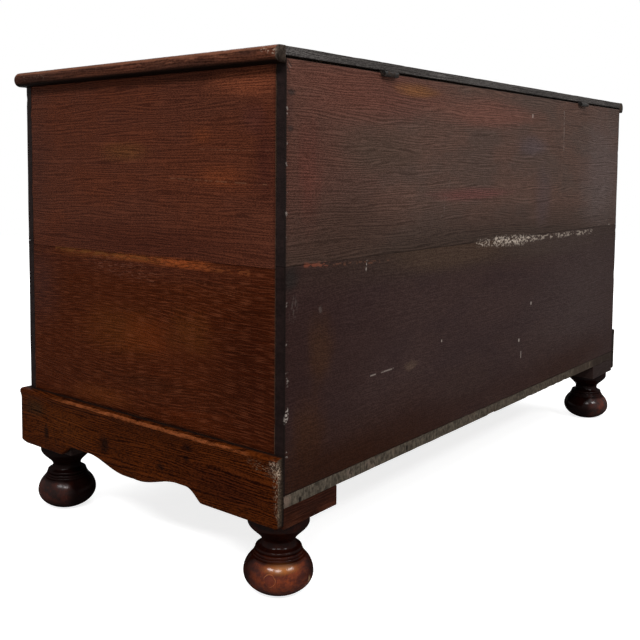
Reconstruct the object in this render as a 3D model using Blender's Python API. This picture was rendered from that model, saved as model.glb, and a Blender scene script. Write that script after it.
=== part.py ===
"""Board-built coffer on turned bun feet, with a moulded plinth and a hinged lid.

The front faces -Y and the hinged back faces +Y. The origin is on the floor, under the
middle of the whole object. Front and back boards lap over the ends, bottom boards run
from front to back under them, and a plinth wraps the front and both ends.
"""

import math

import bmesh
import bpy

# Fits: the gap between pieces that touch, and running gaps.
FIT = 0.0003
LIP_GAP = 0.0012
PIN_GAP = 0.0003

# Carcass boards.
CARCASS_WIDTH = 1.200
CARCASS_DEPTH = 0.562
CARCASS_HEIGHT = 0.5635
FRONT_THICK = 0.014
BACK_THICK = 0.016
END_THICK = 0.016
LOWER_BOARD_HEIGHT = 0.299
FRONT_JOINT_RISE = 0.003
END_JOINT_DROP = 0.004
BOARD_ARRIS = 0.0008

# Bottom boards, laid side by side along the width.
BOTTOM_THICK = 0.0165
BOTTOM_BOARDS = 6

# Foot blocks, glued under the corners of the bottom.
BLOCK_LENGTH = 0.116
BLOCK_WIDTH = 0.110
BLOCK_HEIGHT = 0.0282

# Turned feet: heights stack up from the floor.
PAD_RADIUS = 0.0215
BUN_RADIUS = 0.0482
BUN_BELLY = 0.0275
BUN_HEIGHT = 0.0505
SHOULDER_RADIUS = 0.0375
STEPS = 2
STEP_IN = 0.0019
STEP_HEIGHT = 0.0036
BEAD_RADIUS = 0.0323
BEAD_HEIGHT = 0.0056
COVE_HEIGHT = 0.0078
NECK_RADIUS = 0.0232
FLARE_HEIGHT = 0.0270
COLLAR_RADIUS = 0.0430
COLLAR_HEIGHT = 0.0080
TENON_RADIUS = 0.0130
TENON_LENGTH = 0.0220
FOOT_INSET_X = 0.0405
FOOT_INSET_Y = 0.0430
TURNED_SIDES = 32

# Plinth, mitred at the two front corners.
PLINTH_HEIGHT = 0.0942
PLINTH_DROP = 0.0251
PLINTH_NOSE = 0.0150
PLINTH_COVE = 0.0020
NOSE_RADIUS = 0.0042
NOSE_FALL = 0.0016
NOSE_FLAT = 0.0025
COVE_FALL = 0.0100
PLINTH_CORNER = 0.0080
PLINTH_WEAR = 0.0050

# Shaped lower edge of the plinth.
BRACKET_LENGTH = 0.140
ARCH_RISE = 0.0175
ARCH_END = 0.030
ARCH_BELLY = 2.5
ARCH_FOOT = 1.5
PENDANT_HALF = 0.016
PENDANT_RISE = 0.0014
END_CROWN = 0.018
FRONT_OGEE = 0.090

# Lid boards, with an applied moulding on the front and ends.
LID_GAP = 0.0022
LID_THICK = 0.0125
LID_REAR_DEPTH = 0.300
LID_END_REACH = 0.0220
LID_FRONT_REACH = 0.0125
MOULDING_HEIGHT = 0.0222
NOSE_DEPTH = 0.0090
LID_CORNER = 0.0170
BATTEN_WIDTH = 0.048
BATTEN_THICK = 0.016
BATTEN_SETBACK = 0.030
BATTEN_PLACE = 0.380
BATTEN_CHAMFER = 0.0030

# Butt hinges, with their barrels outside the back.
HINGE_PLACE = 0.370
HINGE_LENGTH = 0.036
BARREL_RADIUS = 0.0042
PIN_RADIUS = 0.0020
PIN_HEAD = 0.0018
LEAF_THICK = 0.0016
LEAF_DEPTH = 0.0115
NOTCH_GAP = 0.0006
ARM_ROOT = 0.0025
BARREL_SIDES = 16

# Cutters and blanks reach this far past the piece that they shape.
PAST = 0.010
# The smallest plan corner radius of a moulding, and the sharpest shading angle.
LEAST_CORNER = 0.0004
SHARP_DEGREES = 35.0

# Levels above the floor.
FOOT_HEIGHT = (BUN_HEIGHT + STEPS * STEP_HEIGHT + BEAD_HEIGHT + COVE_HEIGHT
               + FLARE_HEIGHT + COLLAR_HEIGHT)
BLOCK_Z = FOOT_HEIGHT + FIT
BOTTOM_Z = BLOCK_Z + BLOCK_HEIGHT + FIT
CARCASS_Z = BOTTOM_Z + BOTTOM_THICK + FIT
CARCASS_TOP = CARCASS_Z + CARCASS_HEIGHT
LID_Z = CARCASS_TOP + LID_GAP
LID_TOP = LID_Z + LID_THICK
PLINTH_Z = BOTTOM_Z - PLINTH_DROP
HINGE_Z = LID_Z - FIT - BARREL_RADIUS

# Plan: the whole object is centred between its foremost and hindmost points.
HINGE_OUT = BARREL_RADIUS + FIT + NOTCH_GAP / 2
FRONT_OUT = max(PLINTH_NOSE, LID_FRONT_REACH)
END_X = CARCASS_WIDTH / 2
FRONT_Y = (FRONT_OUT - CARCASS_DEPTH - HINGE_OUT - BARREL_RADIUS) / 2
BACK_Y = FRONT_Y + CARCASS_DEPTH
HINGE_Y = BACK_Y + HINGE_OUT


def clear_scene():
    """Remove every object, mesh and material that is already there."""
    for obj in list(bpy.data.objects):
        bpy.data.objects.remove(obj, do_unlink=True)
    for mesh in list(bpy.data.meshes):
        bpy.data.meshes.remove(mesh)
    for mat in list(bpy.data.materials):
        bpy.data.materials.remove(mat)


def material(name, colour, roughness, metallic=0.0):
    """A Principled material in the piece's own plain colour."""
    mat = bpy.data.materials.new(name)
    mat.use_nodes = True
    shader = mat.node_tree.nodes["Principled BSDF"]
    shader.inputs["Base Color"].default_value = (*colour, 1.0)
    shader.inputs["Roughness"].default_value = roughness
    shader.inputs["Metallic"].default_value = metallic
    return mat


def add_mesh(name, verts, faces, mat=None, location=(0.0, 0.0, 0.0)):
    """A new object from points and faces, with its faces turned outwards."""
    mesh = bpy.data.meshes.new(name)
    mesh.from_pydata([tuple(map(float, v)) for v in verts], [], faces)
    work = bmesh.new()
    work.from_mesh(mesh)
    bmesh.ops.recalc_face_normals(work, faces=work.faces)
    work.to_mesh(mesh)
    work.free()
    obj = bpy.data.objects.new(name, mesh)
    obj.location = location
    bpy.context.scene.collection.objects.link(obj)
    if mat is not None:
        mesh.materials.append(mat)
    return obj


def smooth(obj):
    """Shade a turned or moulded piece smooth, with its arrises kept sharp."""
    obj.data.shade_smooth()
    obj.data.set_sharp_from_angle(angle=math.radians(SHARP_DEGREES))


def as_cutter(obj):
    """Mark an object as a cutter: it is seen as wire and never built."""
    obj.hide_render = True
    obj.display_type = "WIRE"
    return obj


def boolean(obj, other, operation):
    """Cut, join or intersect an object with another one."""
    mod = obj.modifiers.new(operation.lower(), "BOOLEAN")
    mod.operation = operation
    mod.solver = "EXACT"
    mod.object = other


def chamfer(obj, width, degrees=50.0):
    """Take the arrises off with one narrow flat."""
    mod = obj.modifiers.new("arris", "BEVEL")
    mod.width = width
    mod.segments = 1
    mod.limit_method = "ANGLE"
    mod.angle_limit = math.radians(degrees)


def prism(name, outline, low, high, mat=None, axis="Z"):
    """A closed outline extruded along one axis from low to high.

    The outline's two numbers are X, Y along Z; X, Z along Y; and Y, Z along X.
    """
    place = {
        "Z": lambda a, b, c: (a, b, c),
        "Y": lambda a, b, c: (a, c, b),
        "X": lambda a, b, c: (c, a, b),
    }[axis]
    count = len(outline)
    verts = [place(a, b, low) for a, b in outline]
    verts += [place(a, b, high) for a, b in outline]
    faces = [tuple(range(count)), tuple(range(2 * count - 1, count - 1, -1))]
    for i in range(count):
        j = (i + 1) % count
        faces.append((i, j, count + j, count + i))
    return add_mesh(name, verts, faces, mat)


def board(name, low, high, mat, arris=BOARD_ARRIS):
    """A plain board between two corners, placed by its own centre."""
    centre = [(a + b) / 2 for a, b in zip(low, high)]
    half = [(b - a) / 2 for a, b in zip(low, high)]
    outline = [(-half[0], -half[1]), (half[0], -half[1]),
               (half[0], half[1]), (-half[0], half[1])]
    obj = prism(name, outline, -half[2], half[2], mat)
    obj.location = centre
    if arris > 0:
        chamfer(obj, arris)
    return obj


def lathe(name, profile, sides, mat, location):
    """Turn a profile of (radius, height) points round Z; both ends lie on the axis."""
    inner = profile[1:-1]
    verts = []
    for radius, height in inner:
        for k in range(sides):
            angle = 2 * math.pi * k / sides
            verts.append((radius * math.cos(angle), radius * math.sin(angle), height))
    low = len(verts)
    verts.append((0.0, 0.0, profile[0][1]))
    verts.append((0.0, 0.0, profile[-1][1]))
    faces = []
    for i in range(len(inner) - 1):
        for k in range(sides):
            n = (k + 1) % sides
            faces.append((i * sides + k, i * sides + n,
                          (i + 1) * sides + n, (i + 1) * sides + k))
    last = (len(inner) - 1) * sides
    for k in range(sides):
        n = (k + 1) % sides
        faces.append((low, n, k))
        faces.append((low + 1, last + k, last + n))
    obj = add_mesh(name, verts, faces, mat, location)
    smooth(obj)
    return obj


def rounded_rectangle(half_x, front, back, radius, steps=6):
    """Plan outline, counter-clockwise, with its two front corners rounded."""
    points = []
    for corner_x, start in ((-1, math.pi), (1, 1.5 * math.pi)):
        cx = corner_x * (half_x - radius)
        cy = front + radius
        for k in range(steps + 1):
            angle = start + 0.5 * math.pi * k / steps
            points.append((cx + radius * math.cos(angle), cy + radius * math.sin(angle)))
    points += [(half_x, back), (-half_x, back)]
    return points


def envelope(name, half_x, front, back, corner, levels):
    """A slab whose plan shrinks level by level: levels are (height, inset) pairs.

    It is what a moulding cutter leaves when it runs round the two front corners.
    """
    verts = []
    for height, inset in levels:
        plan = rounded_rectangle(half_x - inset, front + inset, back,
                                 max(corner - inset, LEAST_CORNER))
        verts += [(x, y, height) for x, y in plan]
    count = len(verts) // len(levels)
    faces = [tuple(range(count - 1, -1, -1)),
             tuple(range(count * (len(levels) - 1), count * len(levels)))]
    for i in range(len(levels) - 1):
        for k in range(count):
            n = (k + 1) % count
            faces.append((i * count + k, i * count + n,
                          (i + 1) * count + n, (i + 1) * count + k))
    return as_cutter(add_mesh(name, verts, faces))


def mitred_strips(inner_x, inner_y, reach_x, reach_y, back):
    """Plan outlines of the front and right strips that meet on a mitre.

    The mitre runs from the inner corner to the outer one, half a fit away on each side.
    """
    slope = reach_y / reach_x
    normal = math.hypot(1.0, slope)
    shift = FIT / 2 * normal
    out_x = inner_x + reach_x + PAST
    out_y = inner_y - slope * (out_x - inner_x)

    def mitre(x, side):
        return inner_y - slope * (x - inner_x) + side * shift

    right = [(inner_x, mitre(inner_x, 1)), (out_x, mitre(out_x, 1)),
             (out_x, back), (inner_x, back)]
    front = [(-inner_x, mitre(inner_x, -1)), (-out_x, out_y - shift),
             (-out_x, out_y - PAST), (out_x, out_y - PAST),
             (out_x, out_y - shift), (inner_x, mitre(inner_x, -1))]
    return front, right


def mirrored(outline):
    """The same plan outline on the other side of the middle."""
    return [(-x, y) for x, y in reversed(outline)]


def carcass(wood):
    """Front, back and end boards, two to each face, edge to edge."""
    inner_x = END_X - END_THICK
    front_in = FRONT_Y + FRONT_THICK + FIT
    back_in = BACK_Y - BACK_THICK - FIT
    front_lower = LOWER_BOARD_HEIGHT + FRONT_JOINT_RISE
    end_lower = LOWER_BOARD_HEIGHT - END_JOINT_DROP
    faces = {
        "front": ((-END_X, FRONT_Y), (END_X, FRONT_Y + FRONT_THICK), front_lower),
        "back": ((-END_X, BACK_Y - BACK_THICK), (END_X, BACK_Y), LOWER_BOARD_HEIGHT),
        "right_end": ((inner_x, front_in), (END_X, back_in), end_lower),
        "left_end": ((-END_X, front_in), (-inner_x, back_in), end_lower),
    }
    built = {}
    for side, (low, high, lower) in faces.items():
        joint = CARCASS_Z + lower
        built[side + "_board_lower"] = board(
            side + "_board_lower", (*low, CARCASS_Z), (*high, joint), wood[side])
        built[side + "_board_upper"] = board(
            side + "_board_upper", (*low, joint + FIT), (*high, CARCASS_TOP), wood[side])
    notch_floor = HINGE_Z - LEAF_THICK / 2 - FIT
    half = HINGE_LENGTH / 2 + NOTCH_GAP
    for side in (-1, 1):
        x = side * HINGE_PLACE
        reach = LEAF_DEPTH + NOTCH_GAP
        notch = prism(
            "hinge_notch", [(x - half, BACK_Y - reach), (x + half, BACK_Y - reach),
                            (x + half, BACK_Y + reach), (x - half, BACK_Y + reach)],
            notch_floor, LID_Z)
        boolean(built["back_board_upper"], as_cutter(notch), "DIFFERENCE")


def bottom(mat):
    """Bottom boards that run from front to back under the carcass."""
    width = CARCASS_WIDTH / BOTTOM_BOARDS
    for k in range(BOTTOM_BOARDS):
        left = -END_X + k * width
        low = (left + (FIT / 2 if k else 0.0), FRONT_Y, BOTTOM_Z)
        last = k == BOTTOM_BOARDS - 1
        high = (left + width - (0.0 if last else FIT / 2), BACK_Y, BOTTOM_Z + BOTTOM_THICK)
        board("bottom_board_%d" % (k + 1), low, high, mat)


def ellipse_arc(radius, semi, centre, start, end, steps):
    """Points (radius * cos, centre + semi * sin) from the start to the end angle."""
    return [(radius * math.cos(start + (end - start) * k / steps),
             centre + semi * math.sin(start + (end - start) * k / steps))
            for k in range(steps + 1)]


def foot_profile():
    """Half section of a foot, from the middle of its pad up to the end of its tenon."""
    low_angle = -math.acos(PAD_RADIUS / BUN_RADIUS)
    low_semi = BUN_BELLY / math.sin(-low_angle)
    top_angle = math.acos(SHOULDER_RADIUS / BUN_RADIUS)
    top_semi = (BUN_HEIGHT - BUN_BELLY) / math.sin(top_angle)
    points = [(0.0, 0.0)]
    points += ellipse_arc(BUN_RADIUS, low_semi, BUN_BELLY, low_angle, 0.0, 6)
    points += ellipse_arc(BUN_RADIUS, top_semi, BUN_BELLY, 0.0, top_angle, 5)[1:]
    height = BUN_HEIGHT
    radius = SHOULDER_RADIUS
    for _ in range(STEPS):
        radius -= STEP_IN
        points += [(radius, height), (radius, height + STEP_HEIGHT)]
        height += STEP_HEIGHT
    bead_in = BEAD_HEIGHT / 2
    bead = ellipse_arc(bead_in, bead_in, height + bead_in, -0.5 * math.pi, 0.5 * math.pi, 4)
    points += [(BEAD_RADIUS - bead_in + r, z) for r, z in bead]
    height += BEAD_HEIGHT
    cove_run = BEAD_RADIUS - bead_in - NECK_RADIUS
    for k in range(1, 4):
        angle = 0.5 * math.pi * k / 3
        points.append((NECK_RADIUS + cove_run * (1 - math.sin(angle)),
                       height + COVE_HEIGHT * (1 - math.cos(angle))))
    height += COVE_HEIGHT
    for k in range(1, 7):
        s = k / 6
        points.append((NECK_RADIUS + (COLLAR_RADIUS - NECK_RADIUS) * s * s * (3 - 2 * s),
                       height + FLARE_HEIGHT * s))
    points.append((COLLAR_RADIUS, FOOT_HEIGHT))
    points += [(TENON_RADIUS, FOOT_HEIGHT), (TENON_RADIUS, FOOT_HEIGHT + TENON_LENGTH),
               (0.0, FOOT_HEIGHT + TENON_LENGTH)]
    return points


def feet(foot_mat, block_mat):
    """Four turned feet, each with a tenon in a block under a corner of the bottom."""
    profile = foot_profile()
    bore_depth = TENON_LENGTH + FIT
    for x_name, x_side in (("left", -1), ("right", 1)):
        for y_name, y_edge, y_side in (("front", FRONT_Y, 1), ("back", BACK_Y, -1)):
            corner = y_name + "_" + x_name
            foot_x = x_side * (END_X - FOOT_INSET_X)
            foot_y = y_edge + y_side * FOOT_INSET_Y
            lathe("bun_foot_" + corner, profile, TURNED_SIDES, foot_mat,
                  (foot_x, foot_y, 0.0))
            xs = sorted((x_side * END_X, x_side * (END_X - BLOCK_LENGTH)))
            ys = sorted((y_edge, y_edge + y_side * BLOCK_WIDTH))
            block = board("foot_block_" + corner, (xs[0], ys[0], BLOCK_Z),
                          (xs[1], ys[1], BLOCK_Z + BLOCK_HEIGHT), block_mat)
            bore = as_cutter(prism(
                "tenon_bore", circle(TENON_RADIUS + FIT, TURNED_SIDES, foot_x, foot_y),
                BLOCK_Z - BLOCK_HEIGHT, BLOCK_Z + bore_depth))
            boolean(block, bore, "DIFFERENCE")


def circle(radius, sides, cx=0.0, cy=0.0):
    """Outline of a round hole or pin whose flats lie at the stated radius or beyond."""
    outer = radius / math.cos(math.pi / sides)
    return [(cx + outer * math.cos(2 * math.pi * k / sides),
             cy + outer * math.sin(2 * math.pi * k / sides)) for k in range(sides)]


def plinth_levels():
    """Insets of the plinth's section, from its lower edge up to its moulded top."""
    top = PLINTH_Z + PLINTH_HEIGHT
    nose_low = top - NOSE_FALL - NOSE_RADIUS - NOSE_FLAT
    levels = [(PLINTH_Z - PAST, PLINTH_COVE)]
    for k in range(5):
        s = k / 4
        levels.append((nose_low - COVE_FALL * (1 - s), PLINTH_COVE * (1 - s * s)))
    for k in range(5):
        angle = 0.5 * math.pi * k / 4
        levels.append((top - NOSE_FALL - NOSE_RADIUS * (1 - math.sin(angle)),
                       NOSE_RADIUS * (1 - math.cos(angle))))
    levels.append((top, PLINTH_NOSE - FIT))
    return levels


def shaped_edge(half_length, ogee, middle=0.0):
    """Outline of what is cut from a plinth board's lower edge.

    From the middle outwards: a flat pendant, an ogee up to a flat crown, and a rounded
    fall that runs out into the bracket.
    """
    cusp = half_length - BRACKET_LENGTH
    half = [(PENDANT_HALF, PENDANT_RISE)]
    steps = 8
    for k in range(1, steps + 1):
        s = k / steps
        half.append((PENDANT_HALF + ogee * s,
                     PENDANT_RISE + (ARCH_RISE - PENDANT_RISE) * s * s * (3 - 2 * s)))
    for k in range(steps + 1):
        s = k / steps
        half.append((cusp - ARCH_END * (1 - s),
                     ARCH_RISE * (1 - s ** ARCH_BELLY) ** ARCH_FOOT))
    right = [(middle + s, PLINTH_Z + h) for s, h in half]
    left = [(middle - s, PLINTH_Z + h) for s, h in reversed(half)]
    below = PLINTH_Z - PAST
    return left + right + [(middle + cusp, below), (middle - cusp, below)]


def worn_corner():
    """Outline, in Y and Z, of what wear has taken off an end board's low back corner."""
    steps = 5
    worn = []
    for k in range(steps + 1):
        angle = 0.5 * math.pi * k / steps
        worn.append((BACK_Y - PLINTH_WEAR * (1 - math.sin(angle)),
                     PLINTH_Z + PLINTH_WEAR * (1 - math.cos(angle))))
    return [(BACK_Y - PLINTH_WEAR, PLINTH_Z - PAST)] + worn + [
        (BACK_Y + PAST, PLINTH_Z + PLINTH_WEAR), (BACK_Y + PAST, PLINTH_Z - PAST)]


def plinth(mat):
    """Front and end boards of the plinth, mitred in front and open at the back."""
    shape = envelope("plinth_envelope", END_X + PLINTH_NOSE, FRONT_Y - PLINTH_NOSE,
                     BACK_Y + PAST, PLINTH_CORNER, plinth_levels())
    inner_x = END_X + FIT
    inner_y = FRONT_Y - FIT
    reach = PLINTH_NOSE - FIT
    front, right = mitred_strips(inner_x, inner_y, reach, reach, BACK_Y)
    end_half = (CARCASS_DEPTH + PLINTH_NOSE) / 2
    end_ogee = end_half - BRACKET_LENGTH - ARCH_END - END_CROWN - PENDANT_HALF
    front_edge = shaped_edge(END_X + PLINTH_NOSE, FRONT_OGEE)
    end_edge = shaped_edge(end_half, end_ogee, BACK_Y - end_half)
    out = END_X + PLINTH_NOSE + PAST
    front_cuts = [prism("front_arch", front_edge, FRONT_Y - PLINTH_NOSE - PAST,
                        FRONT_Y + PAST, axis="Y")]
    end_cuts = [prism("end_arch", end_edge, -out, out, axis="X"),
                prism("worn_corner", worn_corner(), -out, out, axis="X")]
    for name, outline, cuts in (("plinth_front", front, front_cuts),
                                ("plinth_right", right, end_cuts),
                                ("plinth_left", mirrored(right), end_cuts)):
        piece = prism(name, outline, PLINTH_Z, PLINTH_Z + PLINTH_HEIGHT + PAST, mat)
        boolean(piece, shape, "INTERSECT")
        for cut in cuts:
            boolean(piece, as_cutter(cut), "DIFFERENCE")
        smooth(piece)


def moulding_levels():
    """Insets of the lid moulding's rounded nose, from its lip up to the lid's top."""
    half = MOULDING_HEIGHT / 2
    middle = LID_TOP - half
    steps = 10
    levels = []
    for k in range(steps + 1):
        angle = math.pi * (k / steps - 0.5)
        levels.append((middle + half * math.sin(angle), NOSE_DEPTH * (1 - math.cos(angle))))
    return levels


def lid(board_mat, moulding_mat, batten_mat):
    """Two lid boards, the moulding on three of their edges, and cross battens below."""
    parts = []
    side_x = END_X + LIP_GAP
    front_y = FRONT_Y - LIP_GAP
    split = BACK_Y - LID_REAR_DEPTH
    edge = side_x - FIT
    parts.append(board("lid_board_rear", (-edge, split + FIT, LID_Z),
                       (edge, BACK_Y, LID_TOP), board_mat))
    parts.append(board("lid_board_front", (-edge, front_y + FIT, LID_Z),
                       (edge, split, LID_TOP), board_mat))
    shape = envelope("lid_envelope", END_X + LID_END_REACH, FRONT_Y - LID_FRONT_REACH,
                     BACK_Y + PAST, LID_CORNER, moulding_levels())
    front, right = mitred_strips(side_x, front_y, LID_END_REACH - LIP_GAP,
                                 LID_FRONT_REACH - LIP_GAP, BACK_Y)
    for name, outline in (("lid_moulding_front", front), ("lid_moulding_right", right),
                          ("lid_moulding_left", mirrored(right))):
        piece = prism(name, outline, LID_Z - MOULDING_HEIGHT, LID_TOP + PAST, moulding_mat)
        boolean(piece, shape, "INTERSECT")
        smooth(piece)
        parts.append(piece)
    low_y = FRONT_Y + FRONT_THICK + BATTEN_SETBACK
    high_y = BACK_Y - BACK_THICK - BATTEN_SETBACK
    for name, x in (("left", -BATTEN_PLACE), ("middle", 0.0), ("right", BATTEN_PLACE)):
        parts.append(board("lid_batten_" + name,
                           (x - BATTEN_WIDTH / 2, low_y, LID_Z - FIT - BATTEN_THICK),
                           (x + BATTEN_WIDTH / 2, high_y, LID_Z - FIT), batten_mat,
                           BATTEN_CHAMFER))
    return parts


def knuckle(name, x_low, x_high, mat=None):
    """A length of hinge barrel along X, with no bore yet."""
    outline = circle(BARREL_RADIUS * math.cos(math.pi / BARREL_SIDES), BARREL_SIDES)
    return prism(name, outline, x_low, x_high, mat, axis="X")


def hinge(side, iron, lid_axis):
    """One butt hinge: the leaf in the back board's notch, the lid's leaf, and the pin."""
    name = "right" if side > 0 else "left"
    place = (side * HINGE_PLACE, HINGE_Y, HINGE_Z)
    half = HINGE_LENGTH / 2
    third = HINGE_LENGTH / 6
    inner = -(HINGE_Y - BACK_Y) - LEAF_DEPTH
    mouth = -(HINGE_Y - BACK_Y)
    bore = as_cutter(prism("pin_bore", circle(PIN_RADIUS + PIN_GAP, BARREL_SIDES),
                           -2 * half, 2 * half, axis="X"))
    bore.location = place

    plate = (-LEAF_THICK / 2, LEAF_THICK / 2)
    fixed = leaf("hinge_leaf_fixed_" + name, inner, mouth, plate, (-half, half), iron)
    for low, high in ((-half, -third - FIT / 2), (third + FIT / 2, half)):
        arm = leaf("fixed_arm", mouth - FIT, -ARM_ROOT, plate, (low, high))
        roll = knuckle("fixed_roll", low, high)
        for piece in (arm, roll):
            piece.location = place
            boolean(fixed, as_cutter(piece), "UNION")
    fixed.location = place
    boolean(fixed, bore, "DIFFERENCE")

    plate = (BARREL_RADIUS - LEAF_THICK, BARREL_RADIUS)
    moving = leaf("hinge_leaf_lid_" + name, inner, mouth, plate, (-half, half), iron)
    low, high = -third + FIT / 2, third - FIT / 2
    arm = leaf("lid_arm", mouth - FIT, 0.0, plate, (low, high))
    roll = knuckle("lid_roll", low, high)
    for piece in (arm, roll):
        piece.location = place
        boolean(moving, as_cutter(piece), "UNION")
    boolean(moving, bore, "DIFFERENCE")
    moving.parent = lid_axis
    moving.location = (place[0] - lid_axis.location.x, 0.0, 0.0)

    pin = prism("hinge_pin_" + name,
                circle(PIN_RADIUS * math.cos(math.pi / BARREL_SIDES), BARREL_SIDES),
                -half - PIN_HEAD, half + PIN_HEAD, iron, axis="X")
    pin.location = place
    smooth(pin)


def leaf(name, y_low, y_high, plate, span, mat=None):
    """A flat plate of a hinge leaf, measured from the pin's axis."""
    outline = [(y_low, plate[0]), (y_high, plate[0]), (y_high, plate[1]), (y_low, plate[1])]
    return prism(name, outline, span[0], span[1], mat, axis="X")


def main():
    """Build the whole coffer."""
    clear_scene()
    wood = {
        "front": material("front_wood", (0.085, 0.035, 0.018), 0.45),
        "back": material("back_wood", (0.060, 0.032, 0.024), 0.62),
        "right_end": material("end_wood", (0.110, 0.032, 0.014), 0.42),
        "left_end": material("left_end_wood", (0.110, 0.032, 0.014), 0.42),
    }
    bottom_mat = material("bottom_wood", (0.16, 0.12, 0.09), 0.85)
    block_mat = material("block_wood", (0.055, 0.030, 0.020), 0.70)
    foot_mat = material("foot_wood", (0.130, 0.042, 0.012), 0.22)
    plinth_mat = material("plinth_wood", (0.120, 0.045, 0.018), 0.42)
    moulding_mat = material("moulding_wood", (0.110, 0.045, 0.025), 0.45)
    lid_mat = material("lid_wood", (0.075, 0.040, 0.025), 0.50)
    batten_mat = material("batten_wood", (0.130, 0.075, 0.040), 0.75)
    iron = material("hinge_iron", (0.060, 0.055, 0.050), 0.60, 0.8)

    carcass(wood)
    bottom(bottom_mat)
    feet(foot_mat, block_mat)
    plinth(plinth_mat)
    lid_axis = bpy.data.objects.new("lid_axis", None)
    lid_axis.location = (0.0, HINGE_Y, HINGE_Z)
    bpy.context.scene.collection.objects.link(lid_axis)
    for piece in lid(lid_mat, moulding_mat, batten_mat):
        piece.parent = lid_axis
        piece.location = [a - b for a, b in zip(piece.location, lid_axis.location)]
    for side in (-1, 1):
        hinge(side, iron, lid_axis)
    bpy.context.view_layer.update()


main()
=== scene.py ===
"""Looks of a board-built coffer on turned bun feet.

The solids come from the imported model. This file puts aged boards, mouldings, turned feet
and ironwork in their places, with their finishes, and sets up the studio and the camera.
"""

import math

import bmesh
import bpy
import numpy as np
from mathutils import Matrix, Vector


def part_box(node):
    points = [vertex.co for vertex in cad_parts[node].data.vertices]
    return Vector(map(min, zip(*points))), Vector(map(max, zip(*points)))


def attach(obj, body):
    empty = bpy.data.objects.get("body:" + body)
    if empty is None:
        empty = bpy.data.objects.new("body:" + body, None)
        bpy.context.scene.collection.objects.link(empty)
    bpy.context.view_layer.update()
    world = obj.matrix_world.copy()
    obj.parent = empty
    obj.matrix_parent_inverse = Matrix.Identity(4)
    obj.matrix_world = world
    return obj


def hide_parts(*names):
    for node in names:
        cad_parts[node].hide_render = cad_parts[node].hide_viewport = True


bl_info = {
    "name": "Coffer on bun feet",
    "version": (1, 0, 0),
    "blender": (4, 5, 0),
    "location": "View3D > Sidebar > Coffer",
    "description": "Aged boards, mouldings, turned feet and ironwork of a coffer",
    "category": "Object",
}

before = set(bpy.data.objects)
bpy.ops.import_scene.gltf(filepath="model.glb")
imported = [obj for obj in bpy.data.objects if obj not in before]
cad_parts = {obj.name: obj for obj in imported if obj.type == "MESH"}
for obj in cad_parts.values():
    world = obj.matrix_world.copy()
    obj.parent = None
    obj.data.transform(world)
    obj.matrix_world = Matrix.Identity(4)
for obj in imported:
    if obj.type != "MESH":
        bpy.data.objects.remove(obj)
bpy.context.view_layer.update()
SIDES = ("front", "right", "left")


# ---- Shapes ----

def smoothstep(low, high, value):
    """0 below low, 1 above high, and 3t^2 - 2t^3 between them."""
    t = np.clip((value - low) / (high - low), 0.0, 1.0)
    return t * t * (3.0 - 2.0 * t)


def ripple(points, length, seed):
    """Smooth unevenness, mostly between -1 and 1.

    It is a sum of seven sines of p . k + phase, whose k point in random directions and
    whose wavelengths lie round the given length.
    """
    waves, usual_sum = 7, 3.2
    rng = np.random.default_rng(seed)
    ways = rng.normal(size=(waves, 3))
    ways /= np.linalg.norm(ways, axis=1, keepdims=True)
    ways *= 2.0 * math.pi / (length * rng.uniform(0.6, 1.7, (waves, 1)))
    phase = rng.uniform(0.0, 2.0 * math.pi, waves)
    return np.sin(points @ ways.T + phase).sum(axis=-1) / usual_sum


def make_piece(name, grids, caps=(), sharp=38.0):
    """One closed mesh from grids of points, and caps that are rings of points.

    Neighbouring grid points make quads, a cap makes one flat face, and points that
    coincide along seams and at poles are merged.
    """
    verts, faces, start = [], [], 0
    for grid in grids:
        rows, columns = grid.shape[:2]
        index = start + np.arange(rows * columns).reshape(rows, columns)
        quads = np.stack([index[:-1, :-1], index[1:, :-1], index[1:, 1:], index[:-1, 1:]],
                         axis=-1)
        faces += quads.reshape(-1, 4).tolist()
        verts.append(grid.reshape(-1, 3))
        start += rows * columns
    for ring in caps:
        faces.append(list(range(start, start + len(ring))))
        verts.append(ring)
        start += len(ring)
    mesh = bpy.data.meshes.new(name)
    mesh.from_pydata(np.concatenate(verts).tolist(), [], faces)
    work = bmesh.new()
    work.from_mesh(mesh)
    bmesh.ops.remove_doubles(work, verts=work.verts, dist=2e-6)
    bmesh.ops.dissolve_degenerate(work, edges=work.edges, dist=1e-7)
    bmesh.ops.recalc_face_normals(work, faces=work.faces)
    work.to_mesh(mesh)
    work.free()
    mesh.shade_smooth()
    mesh.set_sharp_from_angle(angle=math.radians(sharp))
    obj = bpy.data.objects.new(name, mesh)
    bpy.context.scene.collection.objects.link(obj)
    return obj


def points_of(obj):
    """The points of a mesh as an array of rows x, y, z."""
    flat = np.empty(len(obj.data.vertices) * 3, np.float32)
    obj.data.vertices.foreach_get("co", flat)
    return flat.reshape(-1, 3).astype(float)


def paint(obj, name, values):
    """Keep one number for each point of the mesh, for its material to read."""
    layer = obj.data.attributes.new(name, "FLOAT", "POINT")
    layer.data.foreach_set("value", np.asarray(values, np.float32))


def dress(obj, material):
    """Give a mesh one material and no other."""
    obj.data.materials.clear()
    obj.data.materials.append(material)


def finish(obj, material, body, slot, *nodes):
    """Give a piece its finish and body, and hide the solids that it stands for."""
    dress(obj, material)
    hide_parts(*nodes)
    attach(obj, body)
    return obj


def stops(low, high, cell, arris):
    """Places along one side of a board: close in each arris, and a cell apart between."""
    close = arris * np.array([0.0, 0.3, 0.65, 1.0, 1.5, 2.4])
    count = max(int(round((high - low - 2 * close[-1]) / cell)), 1)
    middle = np.linspace(low + close[-1], high - close[-1], count + 1)
    return np.concatenate([low + close[:-1], middle, (high - close[:-1])[::-1]])


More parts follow.
